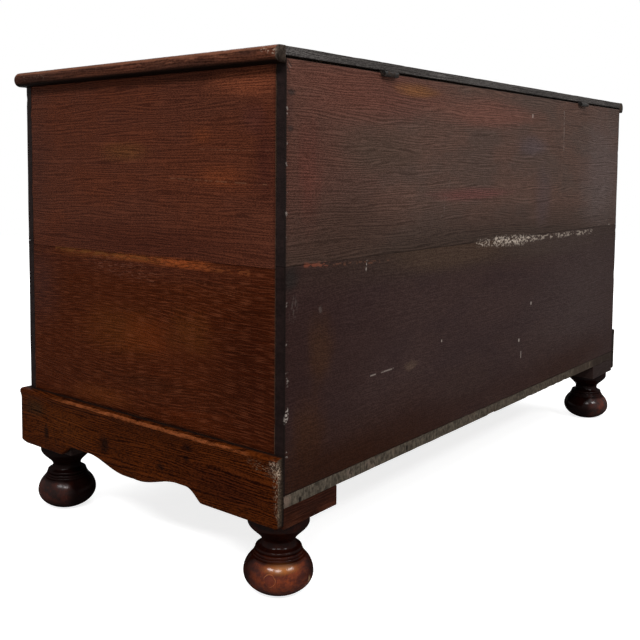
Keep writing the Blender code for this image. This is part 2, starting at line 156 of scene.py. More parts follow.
def box_grids(low, high, cells, arris):
    """Six grids of points, one for each face of a box, with shared edges."""
    lines = [stops(low[k], high[k], cells[k], arris) for k in range(3)]
    grids = []
    for axis in range(3):
        a, b = (axis + 1) % 3, (axis + 2) % 3
        u, v = np.meshgrid(lines[a], lines[b], indexing="ij")
        for value in (low[axis], high[axis]):
            grid = np.empty(u.shape + (3,))
            grid[..., a], grid[..., b], grid[..., axis] = u, v, value
            grids.append(grid)
    return grids


def aged(grid, low, high, arris, uneven, chips, seed, tight=()):
    """Pull a box's points in to rounded, worn and chipped edges and an uneven face.

    With inner = the point held r inside the box and out = point - inner, the new point
    is inner + (r - u) * out / |out|. The radius r grows where an edge is worn or
    chipped, shrinks near the tight faces, and u is the unevenness of the face.
    """
    worn = 1.0 + 0.6 * ripple(grid, 0.06, seed)
    chipped = smoothstep(0.62, 1.05, ripple(grid, 0.022, seed + 1))
    radius = arris * np.clip(worn, 0.4, 2.0) + chips * chipped
    for axis, sign in tight:
        face = high[axis] if sign > 0 else low[axis]
        radius *= 0.25 + 0.75 * smoothstep(0.002, 0.012, abs(grid[..., axis] - face))
    radius = radius[..., None]
    inner = np.clip(grid, low + radius, high - radius)
    out = grid - inner
    length = np.maximum(np.linalg.norm(out, axis=-1, keepdims=True), 1e-9)
    level = uneven * 0.5 * (1.0 - np.clip(ripple(grid, 0.3, seed + 2), -1, 1))
    return inner + (radius - level[..., None]) * out / length


def aged_board(node, material, slot, body, seed, cell=0.008, arris=0.001, uneven=0.0003,
               chips=0.0, inside=None, along=0, end_amount=1.0, grimy_and_shaded=(), tight=(),
               outline=None):
    """A board in the place of a CAD board, with painted edges, ends and inner face.

    worn is 1 on an arris and falls to 0 in 6 mm, end is end_amount on the two end-grain
    faces, raw is 1 on the face that looks into the chest but for a stained margin, and
    grime is 1 on the grimy faces, named as (axis, sign), which lie in narrow gaps and are
    painted dark as soiling and as painted shade, and on the arrises where the board's
    ends meet the outline face.
    """
    low, high = (np.array(corner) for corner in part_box(node))
    grids = [aged(grid, low, high, arris, uneven, chips, seed, tight)
             for grid in box_grids(low, high, (cell, cell, cell), arris)]
    obj = make_piece("aged_" + node, grids, sharp=60.0)
    points = points_of(obj)
    inward = np.minimum(points - low, high - points)
    depth = np.sort(inward, axis=1)[:, 1]
    # Reach of rubbed edges, of soiling and painted shade on faces in gaps, of bare wood,
    # the stained rim and edges kept from wear.
    rubbed, gap_reach, bare, rim, kept = 0.006, 0.0016, 0.002, 0.003, 0.012
    worn = 1.0 - smoothstep(0.0, rubbed, depth)
    paint(obj, "end", end_amount * (1.0 - smoothstep(0.0002, 0.0012, inward[:, along])))

    def near_face(axis, sign, reach):
        """1 on one face of the box, 0 beyond the reach from it."""
        face = high[axis] if sign > 0 else low[axis]
        return 1.0 - smoothstep(0.3 * reach, reach, abs(points[:, axis] - face))

    grime = np.zeros(len(points))
    for axis, sign in grimy_and_shaded:
        grime = np.maximum(grime, near_face(axis, sign, gap_reach))
    for axis, sign in (*grimy_and_shaded, *tight):
        worn *= 1.0 - near_face(axis, sign, kept)
    if outline is not None:
        for sign in (-1, 1):
            line = near_face(along, sign, rim) * near_face(*outline, rim)
            grime = np.maximum(grime, 0.85 * line)
            worn *= 1.0 - near_face(along, sign, rubbed)
    paint(obj, "grime", grime)
    paint(obj, "worn", worn)
    if inside is not None:
        margin = smoothstep(rim, 0.0055, depth)
        paint(obj, "raw", near_face(*inside, bare) * margin)
    return finish(obj, material, body, slot, node)


def turned(profile, centre, sides, seed, uneven=0.00015):
    """A profile of rows (radius, height) turned round a vertical axis.

    x, y = centre + radius * (cos a, sin a). The radius is uneven by a fraction of a
    millimetre, as turned wood is once it has shrunk.
    """
    angle = np.linspace(0.0, 2.0 * math.pi, sides + 1)
    radius, height = profile[:, :1], profile[:, 1:]
    grid = np.stack([radius * np.cos(angle), radius * np.sin(angle),
                     np.broadcast_to(height, (len(profile), sides + 1))], axis=-1)
    grid[:, -1] = grid[:, 0]
    shift = np.array([*centre, 0.0])
    swell = 1.0 + ripple(grid + shift, 0.05, seed) * uneven / np.maximum(radius, 0.01)
    swell[:, -1] = swell[:, 0]
    grid[..., :2] *= np.where(radius > 1e-6, swell, 1.0)[..., None]
    return grid + shift


def arc(radius_x, radius_z, centre, start, end, count):
    """Points centre + (rx cos a, rz sin a) for angles in degrees from start to end."""
    angle = np.radians(np.linspace(start, end, count))
    return np.stack([centre[0] + radius_x * np.cos(angle),
                     centre[1] + radius_z * np.sin(angle)], axis=-1)


def foot_section(sizes):
    """Half section of a foot, as rows (radius, height) from the floor to the collar.

    Two quarter ellipses make the bun, two rounded steps and a bead stand on it, and a
    cove and a smoothstep flare lead up to the collar.
    """
    pad, bun = sizes.pad_radius, sizes.bun_radius
    belly, top = sizes.bun_belly, sizes.bun_height
    shoulder, step_in, step_up, lip = 0.0375, 0.0019, 0.0036, 0.001
    bead, half = 0.0323, 0.0028
    neck, cove_rise, collar, flare_rise = 0.0232, 0.0078, 0.043, 0.027
    low_angle = math.degrees(math.acos(pad / bun))
    low_semi = belly / math.sin(math.radians(low_angle))
    top_angle = math.degrees(math.acos(shoulder / bun))
    top_semi = (top - belly) / math.sin(math.radians(top_angle))
    bevel, cap = 0.0008, 0.008
    parts = [np.array([[0.0, 0.0], [pad - bevel, 0.0]]),
             arc(bun, low_semi, (0.0, belly), -low_angle + 2.0, 0.0, 22),
             arc(bun, top_semi, (0.0, belly), 2.0, top_angle, 16)]
    radius, height = shoulder, top
    for _ in range(2):
        radius -= step_in
        parts.append(np.array([[radius, height], [radius, height + 0.0015]]))
        height += step_up
        parts.append(arc(lip, lip, (radius - lip, height - lip), 10.0, 90.0, 5))
    parts.append(arc(half, half, (bead - half, height + half), -90.0, 90.0, 13))
    height += 2 * half
    run = bead - half - neck
    turn = np.radians(np.linspace(6.0, 90.0, 9))
    parts.append(np.stack([neck + run * (1 - np.sin(turn)),
                           height + cove_rise * (1 - np.cos(turn))], axis=-1))
    height += cove_rise
    rise = np.linspace(0.07, 1.0, 18)
    parts.append(np.stack([neck + (collar - neck) * rise * rise * (3 - 2 * rise),
                           height + flare_rise * rise], axis=-1))
    height += flare_rise
    parts.append(np.array([[collar, height + 0.0015], [collar, height + 0.0075],
                           [collar - 0.0005, height + cap], [0.0, height + cap]]))
    return np.concatenate(parts)


def held_in_corner(x, y, bound, half_x, front, corner):
    """Hold plan points inside the rounded front corners.

    Beyond the corner's centre, a point keeps its direction from it and its distance is
    cut to corner - bound, where bound is how far the moulding is set in at its height.
    """
    cx, cy = half_x - corner, front + corner
    dx, dy = np.abs(x) - cx, cy - y
    reach = np.maximum(corner - bound, 0.0004)
    length = np.hypot(dx, dy)
    beyond = (dx > 0) & (dy > 0) & (length > reach)
    scale = np.where(beyond, reach / np.maximum(length, 1e-9), 1.0)
    return np.where(beyond, np.sign(x) * (cx + dx * scale), x), np.where(
        beyond, cy - dy * scale, y)


def edging(name, side, section, plan, lower_edge=None, uneven=0.0004, seed=0):
    """A strip along the front or one end, whose section is carried along it.

    section has rows (reach, height, set-in, lower), where lower is 1 on the edge that
    lower_edge(s) lifts. On the mitre, the strip's length goes with the reach: it ends at
    inner_x + reach / slope in front and at inner_y - slope * reach on an end.
    """
    inner_x, inner_y, back, half_x, front, corner, slope = plan
    reach, height, bound, lower = (section[:, k][None, :] for k in range(4))
    gap, front_step, end_step, eased = 0.00015, 0.0035, 0.003, 0.0012
    if side == "front":
        steps = int(2 * inner_x / front_step)
        t = np.linspace(-1.0, 1.0, steps + 1)[:, None]
        x = t * (inner_x + reach / slope - gap)
        y = inner_y - reach + 0.0 * t
        along = np.abs(x)
    else:
        count = int((back - inner_y) / end_step)
        t = np.concatenate([np.linspace(0.0, 0.012, 9)[:-1],
                            np.linspace(0.012, 1.0, count)])[:, None]
        y = back + t * (inner_y - slope * reach + gap - back)
        x = inner_x + reach + 0.0 * t
        along = y
    z = height + 0.0 * t
    if lower_edge is not None:
        z = z + lower * lower_edge(along)
    outer = smoothstep(0.0, 0.003, reach) + 0.0 * t
    grid = np.stack([x, y, z], axis=-1)
    dent = uneven * (0.5 + 0.5 * np.clip(ripple(grid, 0.05, seed), -1, 1))
    dent = dent + 2.2 * uneven * smoothstep(0.7, 1.2, ripple(grid, 0.016, seed + 3))
    if side == "front":
        y = y + dent * outer
    else:
        x = x - dent * outer
        x = x - worn_away(eased, eased, back - y) * outer
    x, y = held_in_corner(x, y, bound + 0.0 * t, half_x, front, corner)
    if side == "left":
        x = -x
    grid = np.stack([x, y, z], axis=-1)
    grid[:, -1] = grid[:, 0]
    return make_piece(name, [grid], [grid[0, :-1], grid[-1, :-1]], sharp=50.0)


def worn_away(depth, size, distance):
    """A worn corner: depth * (1 - sqrt(1 - t^2)), with t = 1 - distance / size.

    It is the depth at the corner, and nothing from its size on.
    """
    t = np.clip(1.0 - distance / size, 0.0, 1.0)
    return depth * (1.0 - np.sqrt(1.0 - t * t))


def section_rows(*parts):
    """One closed loop of section rows from parts of (reach, height, set-in, lower)."""
    rows = np.concatenate([np.broadcast_to(np.stack(np.broadcast_arrays(
        *[np.atleast_1d(np.asarray(v, float)) for v in part]), axis=-1),
        (max(np.size(v) for v in part), 4)) for part in parts])
    return np.concatenate([rows, rows[:1]])


def plinth_section(bottom, top, reach):
    """The plinth's section: bevelled top, round nose, shallow cove and plain face."""
    fall, nose, flat, cove, hollow, r = 0.0016, 0.0042, 0.0025, 0.01, 0.002, 0.0014
    low = top - fall - nose - flat
    turn = np.radians(np.linspace(90.0, 0.0, 9))
    s = np.linspace(1.0, 0.0, 7)
    down = np.linspace(0.0, 1.0, 12)
    face = low - cove
    curl = np.radians(np.linspace(0.0, 90.0, 5))
    at_rest = reach - hollow
    return section_rows(
        (0.0, np.linspace(bottom, top, 8), reach, np.linspace(1.0, 0.0, 8)),
        (np.linspace(0.001, reach - nose, 5)[:-1],
         top - fall * np.linspace(0.0, 1.0, 5)[:-1], nose, 0.0),
        (reach - nose * (1 - np.cos(turn)), top - fall - nose * (1 - np.sin(turn)),
         nose * (1 - np.cos(turn)), 0.0),
        (reach - hollow * (1 - s * s), low - cove * (1 - s), hollow * (1 - s * s), 0.0),
        (at_rest, face + (bottom + r - face) * down[1:], hollow, down[1:]),
        (at_rest - r * (1 - np.cos(curl[1:])), bottom + r * (1 - np.sin(curl[1:])),
         hollow, 1.0),
        (np.linspace(at_rest - r, 0.001, 4)[1:], bottom, hollow, 1.0))


def lid_section(bottom, top, reach, depth):
    """The lid moulding's section: a half ellipse, depth deep, on a flat back."""
    half = (top - bottom) / 2
    turn = np.radians(np.linspace(90.0, -90.0, 21))
    nose = depth * (1 - np.cos(turn))
    flat = np.linspace(0.0005, reach - depth, 4)
    return section_rows(
        (0.0, np.linspace(bottom, top, 5), depth, 0.0),
        (flat[:-1], top, depth, 0.0),
        (reach - nose, bottom + half + half * np.sin(turn), nose, 0.0),
        (flat[::-1][1:], bottom, depth, 0.0))


def scroll(half, ogee, sizes, shorter=0.0):
    """How far the plinth's lower edge is cut up at a distance s from its middle.

    A flat pendant, a smoothstep ogee up to a flat crown, and a fall
    rise * (1 - q^2.3)^1.6 that runs out at the cusp, where the bracket begins. The
    bracket on the side of negative s is shorter by the given length.
    """
    rise, drop, pendant, fall = sizes.arch_rise, 0.0014, 0.016, 0.033

    def lift(s):
        """How far the edge is cut up at s."""
        cusp = half - sizes.bracket_length + np.where(s < 0.0, shorter, 0.0)
        s = np.abs(s)
        up = drop + (rise - drop) * smoothstep(pendant, pendant + ogee, s)
        q = np.clip((s - cusp + fall) / fall, 0.0, 1.0)
        return up * (1.0 - q ** 2.3) ** 1.6
    return lift


# ---- Finishes ----

def arithmetic(operation, swapped=False):
    """A method that joins two values in a Math node."""
    def method(self, other):
        """The two values, joined."""
        pair = (other, self) if swapped else (self, other)
        return maths(operation, *pair)
    return method


class Value:
    """An output of a shader node, whose sums and products are Math nodes."""

    def __init__(self, socket):
        self.socket, self.tree = socket, socket.id_data

    __add__ = __radd__ = arithmetic("ADD")
    __mul__ = __rmul__ = arithmetic("MULTIPLY")
    __sub__, __rsub__ = arithmetic("SUBTRACT"), arithmetic("SUBTRACT", True)
    __truediv__, __rtruediv__ = arithmetic("DIVIDE"), arithmetic("DIVIDE", True)


def tree_of(*values):
    """The node tree that the values lie in."""
    return next(value.tree for value in values if isinstance(value, Value))


def wire(socket, value):
    """Wire a value to a socket, or set the socket's own number."""
    if isinstance(value, Value):
        value.tree.links.new(value.socket, socket)
    else:
        socket.default_value = value


def node(tree, kind, inputs=None, output=0, **settings):
    """Add a shader node, set it up and wire it; gives one of its outputs."""
    made = tree.nodes.new(kind)
    for key, value in settings.items():
        setattr(made, key, value)
    for key, value in (inputs or {}).items():
        wire(made.inputs[key], value)
    return Value(made.outputs[output])


def maths(operation, *values):
    """A Math node."""
    return node(tree_of(*values), "ShaderNodeMath", dict(enumerate(values)),
                operation=operation)


def vectors(operation, *values, output=0):
    """A Vector Math node."""
    return node(tree_of(*values), "ShaderNodeVectorMath", dict(enumerate(values)), output,
                operation=operation)


def scaled(vector, scale):
    """A vector times a number."""
    return node(vector.tree, "ShaderNodeVectorMath", {0: vector, "Scale": scale},
                operation="SCALE")


def cloudy(vector, detail, rough=0.5):
    """Noise whose cells are 1 across."""
    return node(vector.tree, "ShaderNodeTexNoise", {
        "Vector": vector, "Scale": 1.0, "Detail": detail, "Roughness": rough})


def noise(vector, size, detail, rough=0.5):
    """Noise whose cells have the given size in metres along each axis."""
    return cloudy(vectors("MULTIPLY", vector, tuple(1.0 / s for s in size)), detail, rough)


def ramp(value, low, high, to_low=0.0, to_high=1.0):
    """A value from low to high, carried over smoothly to to_low and to_high."""
    return node(value.tree, "ShaderNodeMapRange", {
        "Value": value, "From Min": low, "From Max": high, "To Min": to_low,
        "To Max": to_high}, interpolation_type="SMOOTHSTEP")


def tint(amount, a, b, mode="MIX"):
    """A Mix node between two colours."""
    a, b = ((*c, 1.0) if isinstance(c, tuple) else c for c in (a, b))
    return node(tree_of(amount, a, b), "ShaderNodeMix", {0: amount, 6: a, 7: b}, 2,
                data_type="RGBA", blend_type=mode)


def dimmed(shade, share):
    """A colour times a number."""
    return tuple(share * c for c in shade)


def titled(key):
    """The name of a group's socket: dash_length becomes Dash Length."""
    return key.replace("_", " ").title()


def new_group(name, outputs, **inputs):
    """A node group; gives its inputs as values, and its output sockets."""
    tree = bpy.data.node_groups.new(name, "ShaderNodeTree")
    for key, value in inputs.items():
        kind = "NodeSocketVector" if isinstance(value, tuple) else "NodeSocketFloat"
        tree.interface.new_socket(
            titled(key), in_out="INPUT", socket_type=kind).default_value = value
    for key in outputs:
        tree.interface.new_socket(titled(key), in_out="OUTPUT",
                                  socket_type="NodeSocketFloat")
    given = tree.nodes.new("NodeGroupInput").outputs
    return ([Value(given[titled(key)]) for key in inputs],
            tree.nodes.new("NodeGroupOutput").inputs)


ORIGIN = (0.0, 0.0, 0.0)


def grain_group():
    """Grain of a sawn board along X, with sizes in metres.

    The place across the board sways by slow noise. Lines are a sine across the board,
    twice Spacing apart, whose phase drifts and whose strength comes and goes along it.
    Dashes are noise stretched by their own length, and specks are the finest noise.
    """
    given, out = new_group(
        "board_grain", ["grain", "dashes"], vector=ORIGIN, spacing=0.003, sway=0.006,
        dash_length=0.03, line_share=0.5, dash_share=0.35)
    place, spacing, sway, dash_length, line_share, dash_share = given
    slow = noise(place, (0.34, 0.11, 0.11), 1.0) - 0.5
    quick = noise(place, (0.05, 0.025, 0.025), 1.0) - 0.5
    split = place.tree.nodes.new("ShaderNodeSeparateXYZ")
    wire(split.inputs[0], place)
    x, y, z = (Value(socket) for socket in split.outputs)
    across = y + (slow + quick * 0.04) * (sway * 5.0)

    def streaks(length, width, detail):
        """Noise length along the board and width across it."""
        return cloudy(node(place.tree, "ShaderNodeCombineXYZ", {
            0: x / length, 1: across / width, 2: z / 0.02}), detail)

    turns = maths("MULTIPLY_ADD", across / spacing, math.pi,
                  streaks(0.16, 0.013, 1.0) * 26.0)
    strength = ramp(streaks(0.06, spacing * 3.2, 1.0), 0.3, 0.56)
    lines = maths("MULTIPLY_ADD", maths("SINE", turns) * 0.5, strength, 0.5)
    dashes = ramp(streaks(dash_length, spacing * 0.52, 0.3), 0.53, 0.68)
    specks = ramp(streaks(0.0035, 0.0013, 0.0), 0.36, 0.64)
    rest = 1.0 - (line_share + dash_share)
    wire(out["Grain"], lines * line_share + (dashes * dash_share + specks * rest))
    wire(out["Dashes"], dashes)


def patch_group():
    """A soft patch: 1 inside an ellipsoid, 0 outside, with a ragged edge."""
    given, out = new_group("patch", ["mask"], vector=ORIGIN, centre=ORIGIN,
                           size=(0.1, 0.1, 0.1), softness=0.8, ragged=0.5)
    place, centre, size, softness, ragged = given
    away = vectors("DIVIDE", vectors("SUBTRACT", place, centre), size)
    torn = cloudy(vectors("ADD", vectors("MULTIPLY", away, (1.6, 1.6, 1.6)), centre),
                  4.0, 0.6)
    length = vectors("LENGTH", away, output=1) + (torn - 0.5) * ragged
    wire(out["Mask"], ramp(length, 1.0 - softness, 1.0, 1.0, 0.0))


def stroke_group():
    """A mark along the straight line between two points, broken up by fine noise.

    d = |p - a - clamp((p - a).(b - a) / |b - a|^2) (b - a)|, and the mask fades out as d
    nears the width.
    """
    given, out = new_group(
        "stroke", ["mask"], vector=ORIGIN, start=ORIGIN, end=(1.0, 0.0, 0.0),
        width=0.002, broken=0.4, speckle=0.006, stretch=(1.0, 1.0, 1.0))
    place, start, end, width, broken, speckle, stretch = given
    way, from_start = vectors("SUBTRACT", end, start), vectors("SUBTRACT", place, start)
    share = (vectors("DOT_PRODUCT", from_start, way, output=1)
             / vectors("DOT_PRODUCT", way, way, output=1))
    nearest = scaled(way, node(place.tree, "ShaderNodeClamp", {0: share}))
    away = vectors("LENGTH", vectors("SUBTRACT", from_start, nearest), output=1)
    specks = cloudy(scaled(vectors("DIVIDE", place, stretch), 1.0 / speckle), 1.5)
    wire(out["Mask"], ramp(away / width, 0.25, 1.0, 1.0, 0.0)
         * ramp(specks, broken, broken + 0.12))


def end_grain_group():
    """Sawn end grain: torn spots, and upright marks about 2 mm wide."""
    (place, size), out = new_group("end_grain", ["torn", "marks"], vector=ORIGIN,
                                   size=0.004)
    wire(out["Torn"], ramp(cloudy(scaled(place, 1.0 / size), 3.0, 0.6), 0.34, 0.66))
    wire(out["Marks"], ramp(noise(place, (0.0024, 0.05, 0.01), 2.5, 0.6), 0.34, 0.68))


class Finish:
    """One material being built: it starts from the object's own coordinates."""

    def __init__(self, name, colour=None):
        self.material = bpy.data.materials.new(name)
        self.material.use_nodes = True
        self.tree = self.material.node_tree
        self.place = node(self.tree, "ShaderNodeTexCoord", output="Object")
        self.colour = colour

    def use(self, group, **inputs):
        """Place a group and give its outputs by name."""
        made = self.tree.nodes.new("ShaderNodeGroup")
        made.node_tree = bpy.data.node_groups[group]
        for key, value in inputs.items():
            wire(made.inputs[titled(key)], value)
        return {socket.name.lower(): Value(socket) for socket in made.outputs}

    def kept(self, name):
        """A number that the mesh keeps for each point."""
        return node(self.tree, "ShaderNodeAttribute", output="Fac", attribute_name=name)

    def turned_place(self, rotation, shift=ORIGIN):
        """The place turned so that X runs along the grain."""
        return node(self.tree, "ShaderNodeMapping", {
            "Vector": self.place, "Rotation": tuple(math.radians(a) for a in rotation),
            "Location": shift})

    def cover(self, mask, shade):
        """Lay a colour over what is there, where the mask is."""
        self.colour = tint(mask, self.colour, shade)

    def mark(self, group, place, marks):
        """Lay patches or strokes over what is there."""
        for shade, strength, values in marks:
            self.cover(self.use(group, vector=place, **values)["mask"] * strength, shade)

    def close(self, roughness, height, depth, **values):
        """Wire up the shader."""
        shader = self.tree.nodes["Principled BSDF"]
        values.update(Base_Color=self.colour, Roughness=roughness)
        for key, value in values.items():
            wire(shader.inputs[key.replace("_", " ")], value)
        wire(shader.inputs["Normal"], node(self.tree, "ShaderNodeBump", {
            "Strength": 1.0, "Distance": depth, "Height": height}))
        return self.material


# Turns in degrees that bring a board's length to X and its face to XY.
ALONG_X = (0.0, 0.0, 0.0)
ALONG_Y = (0.0, 0.0, -90.0)
ON_BACK = (-90.0, 0.0, 0.0)
ON_END = (-90.0, -90.0, 0.0)
NO_MARKS = ((), ())


def board_finish(name, dark, light, turn=ALONG_X, shift=ORIGIN, spacing=0.003, sway=0.006,
                 dash=0.03, shares=(0.5, 0.35), dash_colour=None, dash_amount=0.5,
                 contrast=1.35, cloud=None, cloud_amount=0.5,
                 cloud_size=(0.16, 0.16, 0.07), worn=None, worn_amount=0.5,
                 worn_size=(0.012, 0.012, 0.012), end=None, end_dark=0.45, end_torn=0.5,
                 end_size=0.006, raw=None, grime=(0.006, 0.0038, 0.0032),
                 marks=NO_MARKS, paired=False, roughness=0.5, gloss=0.05, depth=0.0002):
    """The finish of one board: grain, clouds of stain, marks, worn edges and ends, and the
    soiling, painted shade and painted highlights that its mesh keeps.

    The patches of a paired finish lie on the left-hand piece too, at (|x|, y, z).
    """
    middle = tuple(0.5 * (a + b) for a, b in zip(dark, light))
    made = Finish(name, middle)
    place = made.place
    grain = made.use("board_grain", vector=made.turned_place(turn, shift),
                     spacing=spacing, sway=sway, dash_length=dash, line_share=shares[0],
                     dash_share=shares[1])
    usual_grain = 0.45
    amount = (grain["grain"] - usual_grain) * contrast + 0.5
    if cloud is not None:
        spread = ramp(noise(place, cloud_size, 3.0, 0.55), 0.4, 0.62)
        made.cover(spread * cloud_amount, cloud)
    where = place
    if paired:
        where = vectors("MAXIMUM", place, vectors("MULTIPLY", place, (-1.0, 1.0, 1.0)))
    made.mark("patch", where, marks[0])
    ratio = [tuple(v / m for v, m in zip(shade, middle)) for shade in (dark, light)]
    made.colour = tint(1.0, made.colour, tint(amount, *ratio), "MULTIPLY")
    if dash_colour is not None:
        made.cover(grain["dashes"] * dash_amount, dash_colour)
    # Rubbed edges, paler; on the lid moulding's nose this is a painted highlight, and on the
    # plinth's nose partly one.
    if worn is not None:
        edge = made.kept("worn") + noise(place, worn_size, 3.0, 0.62)
        made.cover(ramp(edge, 1.08, 1.55) * worn_amount, worn)
    if end is not None:
        cut = made.use("end_grain", vector=place, size=end_size)
        bare = cut["torn"] * end_torn + cut["marks"] * (1.0 - end_torn)
        made.cover(made.kept("end"), tint(bare, dimmed(end, end_dark), end))
    # Soiling and painted shade: on faces in gaps, in the plinth's inner corner, and under the
    # lid moulding's nose.
    if grime is not None:
        made.cover(made.kept("grime"), grime)
    if raw is not None:
        made.cover(made.kept("raw"), tint(amount, dimmed(raw, 0.72), raw))
    made.mark("stroke", place, marks[1])
    return made.close(grain["grain"] * -0.1 + (roughness + 0.05), grain["grain"], depth,
                      Specular_IOR_Level=gloss)


def foot_finish(name, dark, light, coat, polish, knot=None, marks=()):
    """Turned and polished wood with a knot and soft marks, and painted shade where the mesh
    keeps hollow.

    The knot is a dark spot, with a pale ring where the distance to its centre is 9.8 mm.
    The coat's gloss fades where the surface turns away.
    """
    made = Finish(name)
    place = made.place
    grain = made.use("board_grain", vector=made.turned_place((0.0, 90.0, 0.0)),
                     spacing=0.0026, sway=0.004, dash_length=0.014, line_share=0.35,
                     dash_share=0.35)["grain"]
    cloud = ramp(noise(place, (0.02, 0.02, 0.014), 4.0, 0.6), 0.38, 0.66)
    made.colour = tint(cloud, dark, light)
    made.cover((1.0 - grain) * 0.55, dimmed(dark, 0.4))
    if knot is not None:
        wavy = noise(place, (0.006, 0.006, 0.006), 2.0) * 0.004
        away = vectors("DISTANCE", place, knot, output=1) + wavy
        made.cover(ramp(away, 0.004, 0.0125, 0.6, 0.0), (0.09, 0.0125, 0.0034))
        broken = ramp(noise(place, (0.009, 0.009, 0.009), 1.0), 0.4, 0.6)
        ring = ramp(maths("ABSOLUTE", away - 0.0098), 0.0, 0.0007, 0.45, 0.0)
        made.cover(broken * ring, (0.33, 0.105, 0.03))
    hollow = made.kept("hollow")
    # Painted shade: on the turning's steps and neck, under the belly, and on the sides that
    # less light reaches.
    made.cover(hollow, (0.0036, 0.0011, 0.0009))
    made.mark("patch", place, marks)
    facing = node(made.tree, "ShaderNodeLayerWeight", {"Blend": 0.5}, "Facing")
    rough = (ramp(cloud, 0.0, 1.0, polish + 0.02, polish - 0.02)
             + ramp(facing, 0.45, 0.95, 0.0, 0.45))
    return made.close(0.6, grain, 0.00001, Specular_IOR_Level=0.0,
                      Coat_Weight=(1.0 - hollow * 0.78) * coat, Coat_IOR=2.4,
                      Coat_Roughness=rough)


def iron_finish(name):
    """Old forged iron: dark scale with dull rust in it."""
    made = Finish(name)
    rust = ramp(noise(made.place, (0.006, 0.006, 0.006), 5.0, 0.65), 0.42, 0.7)
    made.colour = tint(rust, (0.0085, 0.0074, 0.0068), (0.024, 0.014, 0.0095))
    return made.close(ramp(rust, 0.0, 1.0, 0.45, 0.8),
                      noise(made.place, (0.002, 0.002, 0.002), 4.0, 0.6), 0.0003,
                      Specular_IOR_Level=0.1)


def spot(centre, size, shade, strength, ragged=0.7, softness=0.85):
    """A stain, glow or bruise, by its centre and half sizes."""
    return shade, strength, {"centre": centre, "size": size, "ragged": ragged,
                             "softness": softness}


def on_face(axis, level, along, up):
    """A point from its level along the face's axis and its places along and up it."""
    point = [along, up]
    point.insert(axis, level)
    return point


def patches(axis, level, *rows):
    """Stains, glows and bruises of the face that lies at the level along the axis.

    Each row is the place along and up the face, half the length and height, the colour
    and the strength, and after them the raggedness and softness if they aren't usual.
    """
    return [spot(on_face(axis, level, *row[:2]), on_face(axis, 0.02, *row[2:4]), *row[4:])
            for row in rows]


def strokes(axis, level, *rows):
    """Scratches, drips and smears of the face that lies at the level along the axis.

    Each row is the start and the end along and up the face, the width, the colour and
    the strength, and after them how broken it is, the size of its speckles, and how far
    they are stretched along and up, if they aren't usual.
    """
    def stroke(width, shade, strength, broken=0.4, speckle=0.006, along=1.0, up=1.0):
        """The part of a mark that follows its two points."""
        return shade, strength, {
            "width": width, "broken": broken, "speckle": speckle,
            "stretch": on_face(axis, 1.0, along, up)}

    marks = []
    for row in rows:
        shade, strength, values = stroke(*row[4:])
        values["start"] = on_face(axis, level, *row[:2])
        values["end"] = on_face(axis, level, *row[2:4])
        marks.append((shade, strength, values))
    return marks


